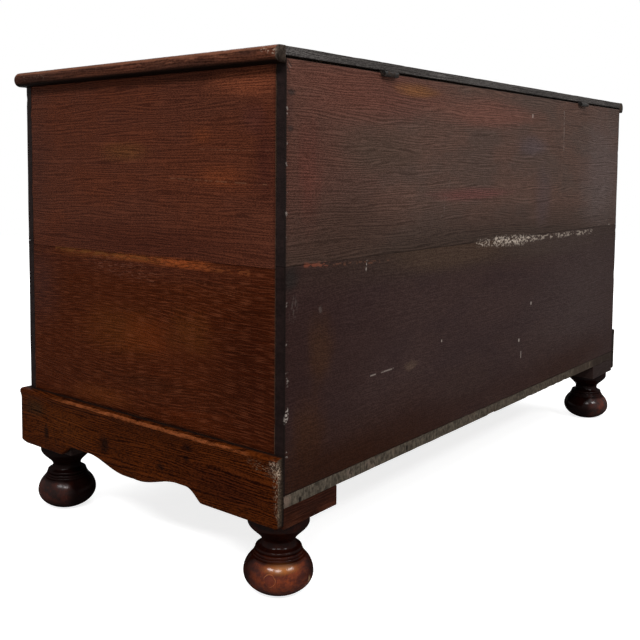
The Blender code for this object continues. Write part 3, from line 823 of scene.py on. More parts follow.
def back_marks(y):
    """Stains and scratches of the two back boards, whose face lies at y, and a sheen painted
    toward their far end.
    """
    plaster, scratch, pale = (0.5, 0.42, 0.35), (0.2, 0.165, 0.145), (0.42, 0.36, 0.32)
    nail = (0.014, 0.011, 0.01)
    scuff = strokes(
        1, y,
        (0.08, 0.449, -0.15, 0.444, 0.01, plaster, 0.5, 0.51, 0.0036, 1.4),
        (0.01, 0.448, -0.1, 0.445, 0.0135, plaster, 0.58, 0.49, 0.0048, 1.4),
        (-0.1, 0.445, -0.45, 0.442, 0.007, plaster, 0.38, 0.49, 0.0046, 2.2),
        (0.559, 0.45, 0.512, 0.4475, 0.005, (0.16, 0.046, 0.026), 0.6, 0.45, 0.003, 3.0),
        (0.53, 0.45, 0.495, 0.449, 0.004, (0.11, 0.048, 0.03), 0.5, 0.48, 0.003, 3.0),
        (0.512, 0.4465, 0.36, 0.44, 0.0034, (0.12, 0.05, 0.03), 0.5, 0.52, 0.003, 3.0))
    upper = (patches(
        1, y,
        (0.62, 0.58, 0.33, 0.26, (0.052, 0.0186, 0.0124), 0.8, 0.6, 1.0),
        (0.4, 0.69, 0.3, 0.07, (0.08, 0.027, 0.018), 0.7),
        (0.05, 0.672, 0.26, 0.038, (0.102, 0.04, 0.028), 0.78),
        (0.287, 0.695, 0.085, 0.015, (0.125, 0.049, 0.016), 0.7),
        (0.38, 0.6, 0.15, 0.046, (0.047, 0.028, 0.02), 0.75),
        (-0.135, 0.62, 0.085, 0.028, (0.06, 0.043, 0.046), 0.6),
        (0.552, 0.56, 0.036, 0.12, (0.072, 0.0215, 0.015), 0.55, 1.3, 1.0),
        (0.05, 0.448, 1.4, 0.085, (0.0262, 0.0156, 0.0112), 0.97, 0.4, 1.0),
        (0.1, 0.534, 0.19, 0.016, (0.084, 0.03, 0.026), 0.7),
        (-0.19, 0.52, 0.05, 0.085, (0.05, 0.033, 0.034), 0.5),
        # Paler and greyer toward the far end: a greyer tone with a painted sheen.
        (-0.5, 0.56, 0.16, 0.18, (0.074, 0.053, 0.049), 0.68),
        (0.47, 0.495, 0.19, 0.066, (0.033, 0.0172, 0.012), 0.68),
        (-0.05, 0.455, 0.3, 0.022, (0.031, 0.0186, 0.0134), 0.7),
        (0.592, 0.65, 0.01, 0.045, (0.04, 0.018, 0.014), 0.45),
        (0.589, 0.6725, 0.013, 0.006, nail, 0.75, 0.5),
        (0.591, 0.627, 0.01, 0.006, nail, 0.65, 0.5),
    ), strokes(
        1, y,
        (-0.281, 0.693, -0.283, 0.616, 0.003, scratch, 0.3, 0.36),
        (0.5965, 0.7125, 0.589, 0.705, 0.0012, nail, 0.8, 0.25),
        (0.5955, 0.7075, 0.5905, 0.703, 0.0008, pale, 0.18),
        (0.598, 0.704, 0.593, 0.697, 0.0014, nail, 0.8, 0.2),
        (-0.131, 0.68, -0.131, 0.675, 0.002, pale, 0.8, 0.2),
        (-0.555, 0.452, -0.553, 0.447, 0.003, pale, 0.7, 0.3),
        (0.18, 0.56, 0.205, 0.5, 0.006, scratch, 0.3, 0.58, 0.004),
        *[(0.598, z, 0.597, z - size, size, pale, 0.28, 0.44, 0.003)
          for z, size in ((0.653, 0.0022), (0.646, 0.0012), (0.609, 0.0018),
                          (0.583, 0.0024), (0.547, 0.0014), (0.52, 0.0026),
                          (0.489, 0.0014))]) + scuff)
    lower = (patches(
        1, y,
        (-0.15, 0.45, 1.2, 0.07, (0.031, 0.0192, 0.014), 0.97, 0.4, 0.8),
        (0.15, 0.443, 0.26, 0.042, (0.044, 0.0262, 0.0178), 0.85, 0.5, 0.6),
        (-0.26, 0.44, 0.3, 0.052, (0.04, 0.0262, 0.0208), 0.85, 0.5, 0.6),
        # Paler and greyer toward the far end: a greyer tone with a painted sheen.
        (-0.42, 0.3, 0.42, 0.28, (0.04, 0.026, 0.0238), 0.8, 0.6, 1.0),
        (0.62, 0.33, 0.36, 0.26, (0.0192, 0.0083, 0.0071), 0.85, 0.6, 1.0),
        (0.525, 0.33, 0.042, 0.07, (0.036, 0.015, 0.007), 0.65),
        (0.55, 0.215, 0.055, 0.08, (0.034, 0.013, 0.006), 0.75),
        (0.45, 0.16, 0.65, 0.1, (0.0175, 0.0052, 0.002), 0.95, 0.6, 1.0),
        (-0.3, 0.16, 0.48, 0.09, (0.0228, 0.0094, 0.0064), 0.92, 0.8, 1.0),
        (0.59, 0.435, 0.026, 0.026, (0.012, 0.01, 0.009), 0.75),
        (0.0, 0.33, 0.2, 0.06, (0.036, 0.0205, 0.018), 0.55),
        (0.1, 0.21, 0.15, 0.05, (0.027, 0.015, 0.0125), 0.6),
        (0.293, 0.27, 0.026, 0.011, (0.08, 0.052, 0.036), 0.5, 1.5),
    ), strokes(
        1, y,
        (0.4165, 0.4465, 0.419, 0.4305, 0.0013, pale, 0.75, 0.42, 0.004),
        (0.406, 0.275, 0.333, 0.2755, 0.0016, scratch, 0.8, 0.42, 0.008),
        (0.596, 0.404, 0.597, 0.4, 0.0018, pale, 0.3, 0.42, 0.004),
        (0.596, 0.354, 0.597, 0.349, 0.0018, pale, 0.25, 0.48, 0.004),
        (0.596, 0.312, 0.594, 0.298, 0.0045, pale, 0.28, 0.5, 0.004),
        (0.594, 0.264, 0.597, 0.25, 0.005, pale, 0.6, 0.47, 0.004),
        (0.595, 0.208, 0.595, 0.203, 0.003, pale, 0.4, 0.48, 0.004),
        (0.526, 0.3885, 0.525, 0.386, 0.005, pale, 0.07, 0.2),
        (0.58, 0.405, 0.584, 0.385, 0.01, pale, 0.06, 0.5, 0.003, 1.0, 2.5),
        (0.198, 0.297, 0.198, 0.295, 0.0018, pale, 0.7, 0.2),
        (-0.094, 0.255, -0.094, 0.252, 0.0026, pale, 0.85, 0.2),
        (-0.144, 0.32, -0.144, 0.317, 0.0026, pale, 0.85, 0.2),
        (-0.104, 0.23, -0.104, 0.219, 0.0018, pale, 0.6, 0.3),
    ) + scuff)
    return upper, lower


def end_marks(x):
    """Stains of the two end boards, whose face lies at x, the glow at their joint, and painted
    shade above the plinth.
    """
    # A near-black: soiling at the boards' back edge, and painted shade in the crease above the
    # plinth.
    dirt_and_shade = (0.009, 0.0026, 0.0016)
    glow = patches(
        0, x,
        (-0.06, 0.442, 0.22, 0.009, (0.098, 0.0255, 0.0062), 0.65, 1.5, 1.0),
        (0.1, 0.4415, 0.11, 0.011, (0.125, 0.0285, 0.007), 0.7, 1.5, 1.0))
    sparks = strokes(
        0, x,
        (-0.2, 0.445, 0.05, 0.4425, 0.005, (0.105, 0.037, 0.01), 0.6, 0.42, 0.0042, 4.5),
        (-0.05, 0.4434, 0.08, 0.442, 0.0075, (0.185, 0.046, 0.012), 0.45, 0.47, 0.003, 4.5),
        (0.055, 0.4422, 0.145, 0.4402, 0.0085, (0.215, 0.047, 0.012), 0.55, 0.45, 0.0028, 4.5),
        (0.13, 0.4395, 0.22, 0.438, 0.006, (0.12, 0.033, 0.0105), 0.65, 0.46, 0.0028, 4.5))
    upper = (patches(
        0, x,
        (0.22, 0.688, 0.11, 0.026, (0.125, 0.034, 0.015), 0.7),
        (0.17, 0.565, 0.065, 0.022, (0.1, 0.024, 0.008), 0.6),
        (0.135, 0.62, 0.03, 0.018, (0.095, 0.0235, 0.008), 0.45),
        (-0.03, 0.6, 0.08, 0.02, (0.074, 0.027, 0.009), 0.6),
        (0.23, 0.64, 0.035, 0.03, (0.045, 0.014, 0.0105), 0.6),
        (0.0, 0.465, 0.36, 0.045, (0.04, 0.0105, 0.0056), 0.9, 0.6),
        (-0.27, 0.58, 0.08, 0.19, (0.042, 0.014, 0.009), 0.65),
        (0.25, 0.59, 0.03, 0.08, (0.032, 0.0085, 0.006), 0.65),
        (0.27, 0.58, 0.009, 0.4, dirt_and_shade, 0.8, 0.3, 1.0),
    ) + glow, strokes(
        0, x,
        (0.06, 0.562, 0.26, 0.555, 0.0015, (0.15, 0.065, 0.035), 0.4, 0.45, 0.01),
        (0.13, 0.602, 0.27, 0.598, 0.0014, (0.14, 0.06, 0.035), 0.3, 0.45, 0.01),
    ) + sparks)
    lower = (patches(
        0, x,
        (-0.04, 0.33, 0.14, 0.055, (0.06, 0.015, 0.0028), 0.7),
        (-0.09, 0.222, 0.11, 0.022, (0.074, 0.0175, 0.0035), 0.65),
        (0.225, 0.31, 0.11, 0.15, (0.021, 0.0036, 0.001), 0.85),
        (-0.27, 0.395, 0.11, 0.12, (0.034, 0.0108, 0.0074), 0.92, 0.5),
        (0.0, 0.435, 0.4, 0.038, (0.038, 0.0096, 0.005), 0.75, 0.5, 1.0),
        (0.27, 0.32, 0.009, 0.4, dirt_and_shade, 0.8, 0.3, 1.0),
        (0.11, 0.218, 0.13, 0.02, (0.045, 0.008, 0.0015), 0.7),
        (0.02, 0.26, 0.13, 0.02, (0.026, 0.0058, 0.0018), 0.6),
        (0.02, 0.33, 0.08, 0.04, (0.1, 0.018, 0.003), 0.35, 1.2),
        (0.11, 0.345, 0.07, 0.045, (0.07, 0.019, 0.0034), 0.4, 1.2),
        # A dark line just above the plinth: painted shade in the crease.
        (0.0, 0.203, 0.4, 0.006, dirt_and_shade, 0.95, 0.4, 0.8),
    ) + glow, sparks + strokes(
        0, x,
        (-0.1, 0.433, 0.03, 0.418, 0.022, (0.15, 0.058, 0.036), 0.35, 0.56, 0.0014, 7.0),
        (0.02, 0.42, 0.2, 0.412, 0.022, (0.13, 0.04, 0.018), 0.3, 0.58, 0.0014, 7.0),
    ))
    return upper, lower


def plinth_marks(x):
    """Stains and knots of the plinth's end board, and its torn back corner."""
    black = (0.007, 0.0022, 0.0012)
    return patches(
        0, x,
        (-0.17, 0.16, 0.11, 0.045, (0.05, 0.012, 0.0022), 0.7),
        (0.19, 0.145, 0.13, 0.04, (0.022, 0.0044, 0.0014), 0.85),
        (-0.25, 0.176, 0.045, 0.022, (0.02, 0.009, 0.0036), 0.75),
        (-0.217, 0.139, 0.01, 0.024, black, 0.9, 0.5),
        (-0.066, 0.15, 0.018, 0.021, black, 0.9, 0.6),
        (0.117, 0.184, 0.014, 0.007, black, 0.9, 0.5),
        (0.115, 0.168, 0.01, 0.007, black, 0.8, 0.5),
        (0.061, 0.144, 0.014, 0.008, black, 0.8, 0.5),
        (0.284, 0.19, 0.022, 0.012, (0.1, 0.066, 0.042), 0.6, 1.8),
        (0.291, 0.15, 0.011, 0.045, (0.045, 0.03, 0.02), 0.7, 1.2),
    ), strokes(
        0, x,
        (0.278, 0.194, 0.288, 0.179, 0.0095, (0.42, 0.32, 0.24), 0.65, 0.5, 0.0018),
        (0.24, 0.19, 0.282, 0.184, 0.011, (0.22, 0.14, 0.09), 0.42, 0.54, 0.0013, 4.0),
        (0.282, 0.178, 0.286, 0.13, 0.0095, (0.215, 0.152, 0.104), 0.55, 0.51, 0.0017, 1.0,
         1.8),
        (0.238, 0.1945, 0.287, 0.1915, 0.0022, black, 0.8, 0.4, 0.004, 4.0),
        (0.262, 0.187, 0.283, 0.18, 0.0018, black, 0.6, 0.44, 0.003),
    )


def moulding_marks(x):
    """Chips and dark spots on the nose of the lid's end moulding."""
    pale, dark = (0.3, 0.215, 0.165), (0.011, 0.0056, 0.0046)
    return patches(
        0, x,
        (0.235, 0.724, 0.035, 0.01, dark, 0.65),
        (0.14, 0.716, 0.06, 0.008, dark, 0.5),
        (-0.06, 0.724, 0.08, 0.008, dark, 0.5),
        (-0.23, 0.716, 0.09, 0.01, dark, 0.6),
    ), strokes(
        0, x,
        (-0.285, 0.722, -0.19, 0.721, 0.008, pale, 0.4, 0.61, 0.0024, 1.6),
        (0.262, 0.726, 0.285, 0.72, 0.006, pale, 0.55, 0.53, 0.0022, 1.8),
        (0.06, 0.722, 0.22, 0.722, 0.005, (0.18, 0.072, 0.04), 0.35, 0.52, 0.0024, 6.0),
    )


def bottom_marks(y):
    """Nail holes and stains on the bottom boards' ends."""
    hole, stain, pale = (0.008, 0.006, 0.005), (0.026, 0.021, 0.016), (0.12, 0.086, 0.07)
    return (), strokes(
        1, y,
        (0.5985, 0.144, 0.594, 0.144, 0.013, (0.12, 0.083, 0.064), 0.65, 0.3, 0.004),
        (0.528, 0.15, 0.526, 0.136, 0.007, stain, 0.75, 0.4, 0.008),
        (0.508, 0.14, 0.47, 0.14, 0.012, stain, 0.45, 0.4, 0.01),
        (0.456, 0.145, 0.45, 0.14, 0.008, pale, 0.5),
        (0.41, 0.145, 0.39, 0.14, 0.008, pale, 0.45, 0.45),
        (0.33, 0.14, 0.29, 0.14, 0.01, stain, 0.35, 0.42, 0.01),
        (-0.38, 0.143, -0.6, 0.143, 0.017, (0.034, 0.024, 0.018), 0.75, 0.3, 0.012),
        (-0.49, 0.143, -0.6, 0.143, 0.017, (0.02, 0.013, 0.011), 0.7, 0.2, 0.012),
        (0.5667, 0.1395, 0.5667, 0.136, 0.0042, hole, 0.95, 0.1),
        (0.3007, 0.144, 0.3007, 0.141, 0.0042, hole, 0.95, 0.1),
    )


FINISHES = {}


def all_finishes(colours):
    """Every finish of the coffer, by name."""
    for make_group in (grain_group, patch_group, stroke_group, end_grain_group):
        make_group()
    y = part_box("back_board_upper")[1][1]
    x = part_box("right_end_board_upper")[1][0]
    back_upper, back_lower = back_marks(y)
    end_upper, end_lower = end_marks(x)
    raw = tuple(colours.bare_wood)
    edge = (0.0125, 0.007, 0.0064)
    made = {
        "back_upper": board_finish(
            "back_board_upper_stain", (0.038, 0.0192, 0.0135), (0.09, 0.049, 0.0365),
            ON_BACK, spacing=0.0018, sway=0.004, dash=0.022, shares=(0.48, 0.24),
            cloud=(0.046, 0.031, 0.025), cloud_amount=0.55, worn=(0.11, 0.08, 0.066),
            worn_amount=0.45, end=edge, raw=raw, roughness=0.58, gloss=0.04, contrast=2.0,
            marks=back_upper),
        "back_lower": board_finish(
            "back_board_lower_stain", (0.022, 0.0118, 0.0104), (0.04, 0.0228, 0.0202),
            ON_BACK, (0.3, 0.2, 0.1), spacing=0.0021, sway=0.007, dash=0.02,
            shares=(0.25, 0.32), cloud=(0.023, 0.013, 0.013),
            worn=(0.09, 0.064, 0.054), worn_amount=0.4, end=edge, raw=raw, contrast=2.1,
            roughness=0.6, gloss=0.02, marks=back_lower),
        "end_upper": board_finish(
            "end_board_upper_wax", (0.031, 0.008, 0.0041), (0.086, 0.0235, 0.011), ON_END,
            spacing=0.002, sway=0.003, dash=0.022, shares=(0.46, 0.24), contrast=1.8,
            cloud=(0.05, 0.016, 0.0095), worn=(0.06, 0.02, 0.011),
            worn_amount=0.2, end=(0.05, 0.03, 0.02), raw=raw, roughness=0.52, gloss=0.015,
            marks=end_upper, paired=True),
        "end_lower": board_finish(
            "end_board_lower_wax", (0.0235, 0.0046, 0.0012), (0.053, 0.0104, 0.0027),
            ON_END, (0.5, 0.1, 0.0), spacing=0.002, sway=0.01, dash=0.026,
            shares=(0.44, 0.26), dash_colour=(0.112, 0.0325, 0.014), dash_amount=0.36,
            contrast=1.9, cloud=(0.034, 0.007, 0.002),
            worn=(0.05, 0.016, 0.008), worn_amount=0.2, end=(0.05, 0.03, 0.02), raw=raw,
            roughness=0.5, gloss=0.01, marks=end_lower, paired=True),
        "front": board_finish(
            "front_board_wax", (0.036, 0.0095, 0.0046), (0.098, 0.027, 0.012), ON_BACK,
            (0.1, 0.4, 0.0), spacing=0.002, sway=0.012, dash=0.014, shares=(0.36, 0.3),
            cloud=(0.045, 0.0125, 0.0062), cloud_amount=0.55, worn=(0.09, 0.034, 0.018),
            worn_amount=0.25, end=edge, raw=raw, roughness=0.46, gloss=0.03),
        "lid": board_finish(
            "lid_board_wax", (0.042, 0.0165, 0.0095), (0.105, 0.043, 0.0235),
            spacing=0.0024, sway=0.014, dash=0.016, shares=(0.38, 0.3),
            cloud=(0.05, 0.026, 0.017), cloud_amount=0.55, worn=(0.075, 0.064, 0.056),
            raw=raw, roughness=0.45, gloss=0.12),
        "lid_edge": board_finish(
            "lid_edge_weathered", (0.02, 0.0178, 0.0168), (0.092, 0.083, 0.078), ON_BACK,
            spacing=0.0015, sway=0.002, dash=0.012, shares=(0.45, 0.25), contrast=1.7,
            cloud=(0.03, 0.0265, 0.0245), cloud_amount=0.6, worn=(0.013, 0.011, 0.01),
            worn_amount=0.6, roughness=0.7, gloss=0.03),
        "bottom": board_finish(
            "bottom_board_bare", (0.07, 0.048, 0.034), (0.15, 0.11, 0.08), ALONG_Y,
            spacing=0.005, sway=0.012, cloud=(0.06, 0.042, 0.032), cloud_amount=0.6,
            worn=(0.03, 0.02, 0.016), end=(0.094, 0.076, 0.057), end_dark=0.22, grime=None,
            roughness=0.85, gloss=0.02, depth=0.0006, marks=bottom_marks(y)),
        "block": board_finish(
            "foot_block_stain", (0.019, 0.005, 0.0024), (0.042, 0.0126, 0.0062), ON_BACK,
            spacing=0.0024, sway=0.004, dash=0.02, contrast=1.8,
            cloud=(0.0135, 0.0044, 0.0028), cloud_amount=0.7, cloud_size=(0.05, 0.05, 0.02),
            grime=None, roughness=0.6, gloss=0.01),
        # A darker, greyer copy of the block stain: a greyer tone, and painted shade on the
        # blocks away from the light.
        "block_shaded": board_finish(
            "foot_block_in_shade", (0.015, 0.0086, 0.0074), (0.025, 0.015, 0.013), ON_BACK,
            sway=0.004, dash=0.02, grime=None, roughness=0.6, gloss=0.02),
        "batten": board_finish(
            "lid_batten_bare", dimmed(raw, 0.6), raw, ALONG_Y, spacing=0.004, grime=None,
            roughness=0.7, gloss=0.08),
        "foot": foot_finish(
            "foot_polish", (0.044, 0.005, 0.0006), (0.15, 0.0225, 0.0026), 0.1, 0.165,
            (0.603, 0.2622, 0.0325), (
                # A golden glow painted round the near foot's highlights on its upper front,
                # and a pale chip.
                spot((0.594, 0.276, 0.0452), (0.038, 0.038, 0.008), (0.42, 0.145, 0.022),
                     0.5, 0.4, 1.0),
                spot((0.551, 0.288, 0.0245), (0.0036, 0.006, 0.0065), (0.26, 0.17, 0.09),
                     0.7))),
        # Darker copies of the foot polish: painted shade on the front feet and the far foot.
        "foot_shaded": foot_finish(
            "foot_polish_in_shade", (0.011, 0.0018, 0.0008), (0.04, 0.0066, 0.0024), 0.07,
            0.23),
        "foot_far_shaded": foot_finish(
            "foot_polish_far_in_shade", (0.017, 0.0024, 0.0008), (0.092, 0.0125, 0.0026), 0.13,
            0.17),
        "iron": iron_finish("forged_iron")}
    for name, turn, marks in (("plinth", ON_END, plinth_marks(x + 0.013)),
                              ("plinth_front", ON_BACK, NO_MARKS)):
        made[name] = board_finish(
            name + "_wax", (0.01, 0.0018, 0.0004), (0.065, 0.0138, 0.0022), turn,
            spacing=0.0017, sway=0.01, dash=0.026, shares=(0.52, 0.22), contrast=1.9,
            cloud=(0.024, 0.0054, 0.0014), worn=(0.195, 0.055, 0.018),
            worn_amount=0.82, worn_size=(0.006, 0.016, 0.006), end=(0.058, 0.039, 0.026),
            end_dark=0.25, end_torn=0.85, end_size=0.0022, roughness=0.48, gloss=0.006,
            depth=0.0003, marks=marks)
    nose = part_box("lid_moulding_right")[1][0]
    # On the mouldings the worn colour paints the highlight along the nose, and the darkest
    # colour paints the shade under it.
    for name, turn, worn_size, marks in (
            ("moulding_end", (0.0, 45.0, -90.0), (0.003, 0.03, 0.003),
             moulding_marks(nose)),
            ("moulding_front", (45.0, 0.0, 0.0), (0.03, 0.003, 0.003), NO_MARKS)):
        made[name] = board_finish(
            "lid_%s_wax" % name, (0.024, 0.008, 0.0042), (0.088, 0.03, 0.017), turn,
            spacing=0.0016, sway=0.002, dash=0.016, shares=(0.45, 0.25),
            cloud=(0.024, 0.011, 0.008), worn=(0.15, 0.06, 0.034),
            worn_amount=0.6, worn_size=worn_size, end=(0.075, 0.056, 0.044), end_dark=0.2,
            grime=(0.0036, 0.0016, 0.001), gloss=0.008, depth=0.0003, marks=marks)
    return made


# ---- What a user would change ----

def length(name, description, value):
    """A length that the panel shows."""
    return bpy.props.FloatProperty(name=name, description=description, default=value,
                                   unit="LENGTH")


def colour(name, description, value):
    """A colour that the panel shows."""
    return bpy.props.FloatVectorProperty(name=name, description=description, default=value,
                                         subtype="COLOR", size=3, min=0.0, max=1.0)


class CofferSizes(bpy.types.PropertyGroup):
    """Sizes of the turned and moulded pieces, and how worn they are."""

    pad_radius: length("Pad radius", "Radius of a foot where it stands on the floor",
                       0.0215)
    bun_radius: length("Bun radius", "Widest radius of a foot", 0.0482)
    bun_belly: length("Belly height", "Height of a foot's widest place", 0.0275)
    bun_height: length("Bun height", "Height of the bun below its steps", 0.0505)
    bracket_length: length("Bracket length", "Plain length at each end of the plinth's edge",
                           0.14)
    arch_rise: length("Arch rise", "How far the plinth's lower edge is cut up", 0.0175)
    plinth_corner: length("Plinth corner", "Plan radius of the plinth's front corners",
                          0.008)
    lid_corner: length("Lid corner", "Plan radius of the lid's front corners", 0.017)
    arris: length("Arris", "Radius of the worn edges of the boards", 0.001)
    chips: length("Chips", "Depth of the chips in the boards' edges", 0.0018)


class CofferColours(bpy.types.PropertyGroup):
    """Colours of the woods that are the same all over, and of the floor."""

    bare_wood: colour("Bare wood", "Unfinished wood inside the chest",
                      (0.21, 0.13, 0.072))
    floor: colour("Floor", "Floor under the coffer", (0.6, 0.6, 0.6))


# ---- Pieces ----

class PieceOperator(bpy.types.Operator):
    """One piece or group of like pieces; execute calls build and raises an error."""

    bl_options = {"REGISTER", "UNDO"}

    def execute(self, context):
        """Build the pieces, and stop with an error if nothing was made."""
        if not FINISHES:
            FINISHES.update(all_finishes(context.scene.coffer_colours))
        if not self.build(context.scene.coffer_sizes):
            raise RuntimeError(self.bl_idname + " made nothing")
        return {"FINISHED"}


class COFFER_OT_carcass(PieceOperator):
    """The eight boards of the front, back and ends, with worn edges."""

    bl_idname = "coffer.carcass"
    bl_label = "Carcass boards"

    def build(self, sizes):
        """Boards lie in their CAD boxes, pulled in at their edges."""
        rows = (("front", "front_wood", (1, 1), 0), ("back", "back_wood", (1, -1), 0),
                ("right_end", "end_wood", (0, -1), 1), ("left_end", "end_wood", (0, 1), 1))
        made = 0
        for face, slot, inside, along in rows:
            for level, sign in (("lower", -1), ("upper", 1)):
                kind = face.split("_")[-1]
                look = kind if kind == "front" else kind + "_" + level
                # Each board's face in the gap under the lid or at the bottom is painted dark:
                # soiling and painted shade.
                aged_board("%s_board_%s" % (face, level), FINISHES[look], slot, "carcass",
                           11 + made, arris=sizes.arris, chips=sizes.chips, inside=inside,
                           along=along, cell=0.006, grimy_and_shaded=((2, sign),),
                           tight=((2, -sign),), outline=(1, 1) if face == "back" else None)
                made += 1
        return made


class COFFER_OT_bottom(PieceOperator):
    """The bottom boards, whose rough ends show under the back."""

    bl_idname = "coffer.bottom"
    bl_label = "Bottom boards"

    def build(self, sizes):
        """Boards lie in their CAD boxes, ragged at their edges, with paler ends."""
        bare = (0.55, 0.75, 0.95, 1.0, 1.0, 1.0)
        for k, end_amount in enumerate(bare, 1):
            aged_board("bottom_board_%d" % k, FINISHES["bottom"], "bottom_wood", "carcass",
                       40 + 3 * k, cell=0.01, arris=0.0005, chips=0.0026, along=1,
                       end_amount=end_amount)
        return len(bare)


class COFFER_OT_plinth(PieceOperator):
    """The moulded and scroll-cut plinth on the front and both ends."""

    bl_idname = "coffer.plinth"
    bl_label = "Plinth"

    def build(self, sizes):
        """The section is carried along each board, and its lower edge is cut away."""
        low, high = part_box("plinth_right")
        end_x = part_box("right_end_board_lower")[1][0]
        back, top, reach = high[1], high[2], high[0] - low[0]
        inner_x = low[0]
        inner_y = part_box("front_board_lower")[0][1] - (low[0] - end_x)
        front = inner_y - reach
        plan = (inner_x, inner_y, back, inner_x + reach, front, sizes.plinth_corner, 1.0)
        section = plinth_section(low[2], top, reach)
        half = (back - front) / 2
        end_rest, front_ogee, shorter = 0.064, 0.09, 0.026
        end_lift = scroll(half, half - sizes.bracket_length - end_rest, sizes, shorter)
        front_lift = scroll(inner_x + reach, front_ogee, sizes)
        back_wear, front_wear = (0.005, 0.005), (0.012, 0.024)

        def end_edge(y):
            """The end boards' scroll, with their low corners worn away."""
            return (end_lift(y - (back - half)) + worn_away(*back_wear, back - y)
                    + worn_away(*front_wear, y - front))

        def front_edge(x):
            """The front board's scroll, with its low corners worn away."""
            return front_lift(x) + worn_away(*front_wear, inner_x + reach - x)

        for side in SIDES:
            at_front = side == "front"
            obj = edging("aged_plinth_" + side, side, section, plan,
                         front_edge if at_front else end_edge, seed=70 + len(side))
            x, y, z = points_of(obj).T
            out = np.maximum(np.abs(x) - inner_x, inner_y - y)
            nose = (smoothstep(top - 0.0092, top - 0.0066, z)
                    * smoothstep(reach - 0.0062, reach - 0.0026, out))
            # The nose is rubbed pale, least near the front corner and the back end, and the
            # pale band is also a painted highlight.
            away = 0.5 if at_front else smoothstep(0.0, 0.2, y - front)
            rubbed = (0.4 + 0.45 * away) * (1.0 - 0.3 * smoothstep(0.44, 0.57, y - front))
            paint(obj, "worn", nose * (rubbed - 0.3 * smoothstep(back - 0.06, back, y)))
            # Painted shade in the corner where the plinth's top meets the boards above it.
            paint(obj, "grime", 1.0 - smoothstep(0.002, 0.0075, out))
            paint(obj, "end", smoothstep(back - 0.001, back - 0.0003, y))
            finish(obj, FINISHES["plinth_front" if at_front else "plinth"],
                   "carcass", "plinth_wood", "plinth_" + side)
        return 3


class COFFER_OT_feet(PieceOperator):
    """The four turned bun feet and the blocks that they are pegged into."""

    bl_idname = "coffer.feet"
    bl_label = "Turned feet"

    def build(self, sizes):
        """Each foot is one turned section, darker where less light reaches it.

        toward is the cosine of a point's direction with the way to the chest's middle,
        and outward the cosine with the way out through its corner.
        """
        section = foot_section(sizes)
        # The near foot and its block keep the lit finishes; the others get the darker copies,
        # as painted shade.
        looks = {"back_right": ("foot", "block"), "back_left": ("foot_far_shaded", "block_shaded")}
        for corner in ("front_left", "back_left", "front_right", "back_right"):
            look, block_look = looks.get(corner, ("foot_shaded", "block_shaded"))
            low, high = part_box("bun_foot_" + corner)
            centre = ((low[0] + high[0]) / 2, (low[1] + high[1]) / 2)
            grid = turned(section, centre, 128, len(corner) * 7 + ord(corner[0]))
            obj = make_piece("turned_foot_" + corner, [grid])
            points = points_of(obj)
            z, away = points[:, 2], points[:, :2] - centre
            distance = np.maximum(np.linalg.norm(away, axis=1), 1e-9)
            toward = -(away @ centre) / (distance * math.hypot(*centre))
            outward = (away @ np.sign(centre)) / (distance * math.sqrt(2.0))
            start = -0.35 if corner.startswith("front") else 0.3
            hidden = 0.85 * (corner == "back_right")
            # hollow is painted shade, strongest where least light reaches the foot, in these
            # places:
            paint(obj, "hollow", np.max([
                0.8 * smoothstep(0.0462, 0.05, z),  # from the bun's shoulder up
                0.92 * smoothstep(0.0575, 0.0592, z),  # from the bead up
                0.85 * (1.0 - smoothstep(0.002, 0.028, z)),  # under the belly
                0.95 * smoothstep(start, start + 0.42, toward),  # under the chest
                hidden * (1.0 - smoothstep(0.3, 0.95, outward))],  # off the corner
                axis=0))
            finish(obj, FINISHES[look], "carcass", "foot_wood", "bun_foot_" + corner)
            dress(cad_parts["foot_block_" + corner], FINISHES[block_look])
        return 4


class COFFER_OT_lid_boards(PieceOperator):
    """The two lid boards and the battens that keep them flat."""

    bl_idname = "coffer.lid_boards"
    bl_label = "Lid boards"

    def build(self, sizes):
        """Boards and battens lie in their CAD boxes; a board's back edge is weathered."""
        for k, name in enumerate(("lid_board_rear", "lid_board_front")):
            # The lid's underside is painted dark with soiling and painted shade, and is bare
            # wood within its margin.
            board = aged_board(name, FINISHES["lid"], "lid_wood", "lid", 120 + 5 * k,
                               arris=0.0012, chips=0.0012, inside=(2, -1), grimy_and_shaded=((2, -1),))
            board.data.materials.append(FINISHES["lid_edge"])
            facing = np.empty(len(board.data.polygons) * 3, np.float32)
            board.data.polygons.foreach_get("normal", facing)
            board.data.polygons.foreach_set(
                "material_index", (facing[1::3] > 0.6).astype(np.int32))
        for k, name in enumerate(("left", "middle", "right")):
            aged_board("lid_batten_" + name, FINISHES["batten"], "batten_wood", "lid",
                       140 + 5 * k, arris=0.003, along=1)
        return 5


